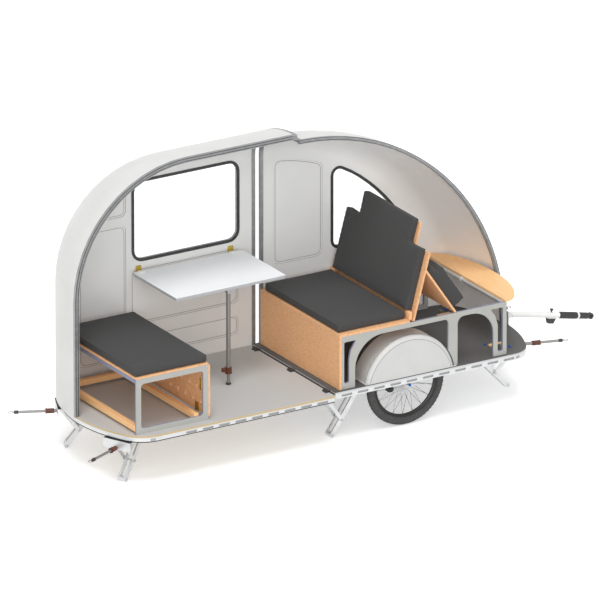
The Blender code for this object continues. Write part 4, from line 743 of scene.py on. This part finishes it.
def mattress(node_name, rest_way, grow=(0.0, 0.0, 0.0)):
    """Swell one foam block from its solid, flat where it rests, and let it stand for the node."""
    piece = copy_of(nodes[node_name])
    piece.matrix_world = Matrix.Identity(4)
    only(piece)
    bpy.ops.object.mode_set(mode="EDIT")
    bpy.ops.mesh.select_all(action="SELECT")
    bpy.ops.mesh.remove_doubles(threshold=0.00005)
    bpy.ops.mesh.normals_make_consistent(inside=False)
    bpy.ops.object.mode_set(mode="OBJECT")
    grow, rest_way = Vector(grow), Vector(rest_way).normalized()
    reach = max(v.co.dot(grow) for v in piece.data.vertices)
    for vertex in piece.data.vertices:
        if vertex.co.dot(grow) > reach - 0.02 * grow.length:
            vertex.co += grow
    bed = max(v.co.dot(rest_way) for v in piece.data.vertices)
    for name, kind, values in (("cover_mesh", "REMESH", {"mode": "VOXEL", "voxel_size": VOXEL}),
                               ("tuck", "DISPLACE", {"strength": -DRAWN_IN, "mid_level": 0.0}),
                               ("settle", "SMOOTH", {"factor": 0.5, "iterations": 2})):
        shaping = piece.modifiers.new(name, kind)
        for key, value in values.items():
            setattr(shaping, key, value)
        bpy.ops.object.modifier_apply(modifier=shaping.name)
    start = np.empty(len(piece.data.vertices) * 3)
    piece.data.vertices.foreach_get("co", start)
    start = start.reshape(-1, 3)
    cloth = piece.modifiers.new("cover", "CLOTH")
    cloth.settings.use_pressure = True
    cloth.settings.uniform_pressure_force = 4.0
    cloth.settings.effector_weights.gravity = 0.0
    cloth.settings.quality = 4
    for step in range(1, 21):
        bpy.context.scene.frame_set(step)
    swelled = piece.evaluated_get(bpy.context.evaluated_depsgraph_get()).data
    ended = np.empty(len(swelled.vertices) * 3)
    swelled.vertices.foreach_get("co", ended)
    move = ended.reshape(-1, 3) - start
    far = np.maximum(np.linalg.norm(move, axis=1, keepdims=True), 1e-9)
    start = start + move * np.minimum(1.0, SWELL_LIMIT / far)
    piece.modifiers.remove(cloth)
    bpy.context.scene.frame_set(1)
    over = np.maximum(start @ np.array(rest_way) - (bed - ABOVE_BED), 0.0)
    start = start - over[:, None] * np.array(rest_way)[None, :]
    piece.data.vertices.foreach_set("co", start.reshape(-1))
    piece.data.update()
    finer = piece.modifiers.new("finer", "SUBSURF")
    finer.levels = finer.render_levels = 1
    bpy.ops.object.modifier_apply(modifier=finer.name)
    piece = put(node_name + "_padded", cover, smooth=80)
    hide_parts(node_name)


BACKREST_LEAN, GROW = radians(15.2), 0.026
PROP_UP, PROP_OUT = Vector((-0.564, 0.0, 0.826)), Vector((0.826, 0.0, 0.564))
mattress("bench_cushion", (0, 0, -1))
mattress("seat_cushion", (0, 0, -1), (GROW, 0, 0))
mattress("backrest_cushion", (cos(BACKREST_LEAN), 0, -sin(BACKREST_LEAN)),
         (-GROW * sin(BACKREST_LEAN), 0, -GROW * cos(BACKREST_LEAN)))
mattress("spare_cushion", -PROP_OUT)

# Couch
# Two welded side frames stand on the deck and carry the seat board, whose far half of the bed is
# folded up as a backrest on a prop board. A chipboard block on each side stops the backrest's foot.

x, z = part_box("seat_board")[1].x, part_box("seat_board")[1].z
for name, side in SIDES:
    brick((x - 0.006, side * 0.449, z + 0.0003), (x + 0.016, side * 0.405, z + 0.050), 0.0012)
    put("backrest_stop_" + name, chipboard)
prop_foot = Vector((SEAM_X + 0.841, 0.0, 0.6563))
places = [(prop_foot + PROP_UP * rise + Vector((0, y, 0)), -PROP_OUT) for rise in (0.06, 0.30)
          for y in (-0.425, -0.20, 0.0, 0.20, 0.425)]
spread(screw_head(), places)
put("prop_screws", zinc)
low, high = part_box("couch_frame_near")
back, fore = low.x + 0.012, high.x - 0.012
places = [((x, side * 0.449, z), (0, side, 0)) for side in (-1, 1) for x, z in (
    (back, 0.352), (back, 0.632), (fore, 0.352), (fore, 0.632), (high.x - 0.150, 0.640))]
spread(rivet_head(0.0052, 0.0030), places)
put("couch_frame_bolts", zinc)
low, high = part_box("bench_frame_near")
places = [((x, side * 0.430, z), (0, side, 0)) for side in (-1, 1)
          for x in (low.x + 0.012, high.x - 0.012) for z in (0.330, 0.648)]
spread(rivet_head(0.0048, 0.0028), places)
put("bench_frame_bolts", zinc)

# Anodised aluminium, drawn: satin, with faint die lines 1.5 mm apart and a slightly uneven oxide.
anodised, shader, add, place = surface("drawn_anodised_aluminium", "#D8D9DA", 0.40, Metallic=0.7)
stretch = add("Mapping", {"Scale": (30.0, 650.0, 650.0)}, {"Vector": place})
lines = add("TexNoise", {"Scale": 1.0, "Detail": 2.0}, {"Vector": stretch})
tone = mottle(add, place, 18.0, 3.0, (0.3, "#D0D1D2"), (0.7, "#DFE0E1"))
gloss = add("MapRange", {"To Min": 0.34, "To Max": 0.48}, {"Value": lines})
grain = add("Bump", {"Strength": 0.10, "Distance": 0.0003}, {"Height": lines})
feed(shader, Base_Color=tone, Roughness=gloss, Normal=grain)
dress(["cross_tube"], anodised)

# One light moulded ring sits at the middle of the cross tube.
low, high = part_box("cross_tube")
middle, half = Vector(((low.x + high.x) / 2, 0.030, (low.z + high.z) / 2)), Vector((0, 0.008, 0))
bar(middle - half, middle + half, 0.0165, 24, 0.0015)
put("cross_tube_ring", drum_sheet)

# Table
# A laminate leaf hangs from the far wall on two brass hinges and stands on one telescopic leg,
# whose clamp is a brown moulded collar with a lever. The leaf's edge has a grey band.

LEAF_FACE_Z, HINGES_FROM_Y = 0.9372, 0.4672

# High pressure laminate: pale cool grey, satin, with a mist of fine flecks drawn at 3 mm. Its
# edge band is grey, and the hinge leaves at the back are brass.
leaf_face, shader, add, place = surface("high_pressure_laminate", "#E8EAEC", 0.38, IOR=1.5)
parts = add("SeparateXYZ", None, {0: place})
tone = mottle(add, place, 330.0, 2.0, (0.35, "#EFF1F3"), (0.65, "#F4F6F8"))
banded = add("Math", {"operation": "LESS_THAN", 1: LEAF_FACE_Z}, {0: parts.outputs["Z"]})
edged = add("Mix", {"data_type": "RGBA", 7: linear("#AEB0B3")}, {"Factor": banded, 6: tone})
hinged = add("Math", {"operation": "GREATER_THAN", 1: HINGES_FROM_Y}, {0: parts.outputs["Y"]})
colour = add("Mix", {"data_type": "RGBA", 7: linear("#B39721")}, {"Factor": hinged, 6: edged.outputs[2]})
feed(shader, Base_Color=colour.outputs[2])
dress(["table_leaf"], leaf_face)
hinge_xs = (SEAM_X - 0.770, SEAM_X - 0.140)
spread(screw_head(0.0032), [((x + aside, 0.4803, 0.958), (0, -1, 0))
                            for x in hinge_xs for aside in (-0.010, 0.010)])
put("table_hinge_screws", zinc)
for name, x in zip(("rear", "front"), hinge_xs):
    bar((x - 0.0175, 0.4765, 0.9425), (x + 0.0175, 0.4765, 0.9425), 0.0042, 16, 0.0008)
    put("table_hinge_barrel_" + name, brass)

# Aluminium, drawn and left bare: a darker, duller grey than the legs', with lines along the tube.
leg_metal, shader, add, place = surface("dull_drawn_aluminium", "#8A8A88", 0.45, Metallic=0.6)
stretch = add("Mapping", {"Scale": (500.0, 500.0, 20.0)}, {"Vector": place})
lines = add("TexNoise", {"Scale": 1.0, "Detail": 2.0}, {"Vector": stretch})
tone = add("ValToRGB", None, {"Fac": lines}, ((0.0, "#7C7C7A"), (1.0, "#949492")))
feed(shader, Base_Color=tone)
dress(["table_leg", "table_leg_foot"], leg_metal)

# Brown polyamide, moulded: the clamps' dark red brown, satin, with a faint mottle at 5 mm.
clamp_plastic, shader, add, place = surface("moulded_brown_polyamide", "#572711", 0.45, IOR=1.53)
tone = mottle(add, place, 200.0, 2.0, (0.3, "#4C210D"), (0.7, "#622D15"))
feed(shader, Base_Color=tone)


def collar(centre, axis, radius, length):
    """A moulded clamp collar round a tube, with ribs along it and a flanged end."""
    centre, axis = Vector(centre), Vector(axis).normalized()
    end = centre + axis * length / 2
    piece = bar(centre - axis * length / 2, end, radius, 32)
    for face in piece.data.polygons:
        face.select = abs(face.normal.dot(axis)) < 0.5 and face.index % 4 < 2
    bpy.ops.object.mode_set(mode="EDIT")
    bpy.ops.mesh.select_mode(type="FACE")
    bpy.ops.mesh.extrude_region_shrink_fatten(TRANSFORM_OT_shrink_fatten={"value": -0.0012})
    bpy.ops.object.mode_set(mode="OBJECT")
    eased(piece, 0.0005, 1)
    return joined(piece, bar(end - axis * 0.006, end, radius + 0.0022, 32, 0.0014))


low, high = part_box("table_leg")
x, z = (low.x + high.x) / 2, 0.404
joined(collar((x, 0, z), (0, 0, -1), 0.0196, 0.038),
       brick((x - 0.046, -0.007, z - 0.005), (x - 0.016, 0.007, z + 0.021), 0.0035, 3),
       bar((x - 0.022, -0.009, z), (x - 0.022, 0.009, z), 0.008, 20, 0.0015))
put("table_leg_clamp", clamp_plastic)
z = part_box("table_leg_foot")[0].z
bar((x, 0, z), (x, 0, z + 0.012), 0.0150, 24, 0.0025)
put("table_leg_tip", nylon, "table_leg_foot")

# Nose shelf and deck fittings
# A beech shelf lies over the nose. On the deck below it, each side has three blue plugs, a flat
# beech batten and a small grey catch.

low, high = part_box("nose_shelf")
spread(screw_head(), [((low.x + 0.012, y, high.z), (0, 0, 1)) for y in (-0.40, -0.14, 0.14, 0.40)])
put("shelf_screws", zinc)
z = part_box("front_deck")[1].z
for name, side in SIDES:
    plug = joined(bar((0, 0, 0), (0, 0, 0.004), 0.0095, 20, 0.0012),
                  bar((0, 0, 0.003), (0, 0, 0.009), 0.0060, 16, 0.0012))
    spread(plug, [((x, side * y, z), (0, 0, 1))
                  for x, y in ((0.949, 0.256), (1.056, 0.262), (1.058, 0.361))])
    put("deck_plugs_" + name, blue_metal)
    brick((0.9565, side * 0.277, z), (1.0445, side * 0.299, z + 0.010), 0.0015)
    put("deck_batten_" + name, beech)
    joined(brick((0.988, side * 0.318, z), (1.022, side * 0.352, z + 0.005), 0.0012),
           brick((0.994, side * 0.324, z + 0.004), (1.016, side * 0.346, z + 0.018), 0.0025))
    put("deck_catch_" + name, leg_metal)

# Folding legs
# Each is two flat bars on a foot tube, hung between two ears under the floor and held by a brace.
# Domed rivets make the joints, and flat metal discs end the foot tubes.

# Each station: the pivot's x from the seam and its y, the heading and lean in degrees, and how
# far the brace's pin and the foot are from the pivot.
STATIONS = {"rear": (-1.196, 0.248, 155.3, 37.9, 0.178, 0.299),
            "mid": (0.209, 0.340, 180.0, 34.6, 0.180, 0.2867),
            "front": (1.108, 0.340, 0.0, 43.5, 0.090, 0.225)}
dress([n for n in nodes if n.startswith(("leg_", "brace_"))], anodised)
for station, (x, y, heading, lean, reach, length) in STATIONS.items():
    for name, side in SIDES:
        turn, which = radians(heading) * side, "%s_%s" % (station, name)
        way, across = Vector((cos(turn), sin(turn), 0)), Vector((-sin(turn), cos(turn), 0))
        pivot = Vector((SEAM_X + x, side * y, 0.2515))
        down = way * sin(radians(lean)) - Vector((0, 0, cos(radians(lean))))
        spread(rivet_head(0.0070, 0.0030), [(pivot + across * s * 0.0322, across * s) for s in (-1, 1)])
        put("leg_pivot_rivets_" + which, zinc)
        foot = pivot + down * length
        joined(*[bar(foot + across * start, foot + across * end, 0.0112, 24, 0.0004)
                 for start, end in ((-0.0281, -0.0271), (0.0271, 0.0281))])
        put("foot_plugs_" + which, zinc, "leg_" + which)
        pin = pivot + down * reach
        spread(rivet_head(0.0075, 0.0028), [(pin + across * s * 0.0400, across * s) for s in (-1, 1)])
        put("brace_rivets_" + which, zinc, "brace_" + which)

# Corner struts
# Telescopic struts at the corners push out and lock with a brown collar. Each ends in a dark
# plug with a loop of brown coated wire for a guy line.

dress([n for n in nodes if n.startswith("strut_")], leg_metal)
for station, share, ahead in (("rear", 0.05, 0.026), ("front", 0.42, 0.023)):
    for name, side in SIDES:
        if station == "rear":
            turn = radians(STATIONS["rear"][2]) * side
            way = Vector((cos(turn), sin(turn), 0))
            pivot = Vector((SEAM_X - 1.196, side * 0.248, 0.2285))
            start, end = pivot + way * 0.2403, pivot + way * 0.4860
        else:
            low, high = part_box("strut_front_" + name)
            z = (low.z + high.z) / 2
            start = Vector((SEAM_X + 1.370, side * 0.225, z))
            end = Vector((SEAM_X + 1.672, side * 0.312, z))
            way = (end - start).normalized()
        clamp_at = start + way * ((end - start).length * share + ahead)
        aside, upwards = way.cross(Vector((0, 0, 1))).normalized(), Vector((0, 0, 0.008))
        lever_at = clamp_at - way * 0.012 + aside * 0.015
        joined(collar(clamp_at, way, 0.0145, 0.050),
               bar(lever_at - upwards, lever_at + upwards, 0.0065, 20, 0.0015))
        put("strut_clamp_%s_%s" % (station, name), clamp_plastic)
        bar(end - way * 0.021, end + way * 0.0030, 0.0105, 20, 0.0016)
        put("strut_plug_%s_%s" % (station, name), nylon)
        line_through([end + way * out + aside * wide for out, wide in (
            (0.0, 0.0), (0.012, 0.014), (0.034, 0.014), (0.038, 0.0),
            (0.034, -0.014), (0.012, -0.014), (0.0005, 0.0))], 0.0016, "NURBS")
        put("strut_loop_%s_%s" % (station, name), clamp_plastic)

# Drawbar
# A white coated tube on a pivot at the nose, with a rubber grip, a light ring and a moulded head
# whose eye takes the hitch pin of a bicycle.

SLOPE = radians(12.2)
pivot = Vector((SEAM_X + 1.490, 0.0, 0.374))
way, upward = Vector((cos(SLOPE), 0, -sin(SLOPE))), Vector((sin(SLOPE), 0, cos(SLOPE)))

# White powder coat on the tube: clean, satin, with the faint orange peel of the coat at 3 mm. The
# support under the tube is dark, told by its height below the tube's axis (0.2162 is the slope).
white_coat, shader, add, place = surface("baked_white_powder_coat", "#E9E9E8", 0.42, IOR=1.5)
peel = add("TexNoise", {"Scale": 330.0}, {"Vector": place})
tone = mottle(add, place, 14.0, 3.0, (0.0, "#E2E2E1"), (1.0, "#EDEDEC"))
skin = add("Bump", {"Strength": 0.1, "Distance": 0.0003}, {"Height": peel})
height = add("VectorMath", {"operation": "DOT_PRODUCT", 1: (0.2162, 0.0, 1.0)}, {0: place})
under = add("Math", {"operation": "LESS_THAN", 1: pivot.z - 0.0195 + 0.2162 * pivot.x},
            {0: height.outputs["Value"]})
parts = add("SeparateXYZ", None, {0: place})
ahead = add("Math", {"operation": "GREATER_THAN", 1: pivot.x + 0.15}, {0: parts.outputs["X"]})
dark = add("Math", {"operation": "MULTIPLY"}, {0: under, 1: ahead})
colour = add("Mix", {"data_type": "RGBA", 7: linear("#303030")}, {"Factor": dark, 6: tone})
feed(shader, Base_Color=colour.outputs[2], Normal=skin)
dress(["drawbar"], white_coat)
bar(pivot + way * 0.4925, pivot + way * 0.505, 0.0196, 28, 0.0015)
put("drawbar_ring", white_coat, "drawbar")
bpy.ops.mesh.primitive_torus_add(major_radius=0.0204, minor_radius=0.0011,
                                 major_segments=32, minor_segments=8)
spread(bpy.context.object, [(pivot + way * (0.372 + 0.0125 * k), way) for k in range(9)])
put("grip_ribs", nylon, "drawbar")
knob = pivot + way * 0.3050 + upward * 0.0175
joined(bar(knob, knob + upward * 0.012, 0.0050, 16, 0.0010),
       bar(knob + upward * 0.010, knob + upward * 0.022, 0.0105, 24, 0.0030))
put("drawbar_knob", nylon, "drawbar")
foot_at = pivot + way * 0.3050 - upward * 0.0165
foot = brick(foot_at - Vector((0.030, 0.009, 0.030)), foot_at + Vector((0.030, 0.009, 0.0)), 0.0)
for vertex in foot.data.vertices:
    if vertex.co.z < foot_at.z - 0.01:
        vertex.co.x = foot_at.x + (vertex.co.x - foot_at.x) * 0.55
foot.data.transform(Matrix.Translation(foot_at) @ Matrix.Rotation(SLOPE, 4, "Y")
                    @ Matrix.Translation(-foot_at))
eased(foot, 0.0025)
put("drawbar_foot", nylon, "drawbar")
spread(rivet_head(0.0062, 0.0030), [(pivot + Vector((0, s * 0.0485, 0)), (0, s, 0)) for s in (-1, 1)])
put("drawbar_pivot_rivets", zinc)
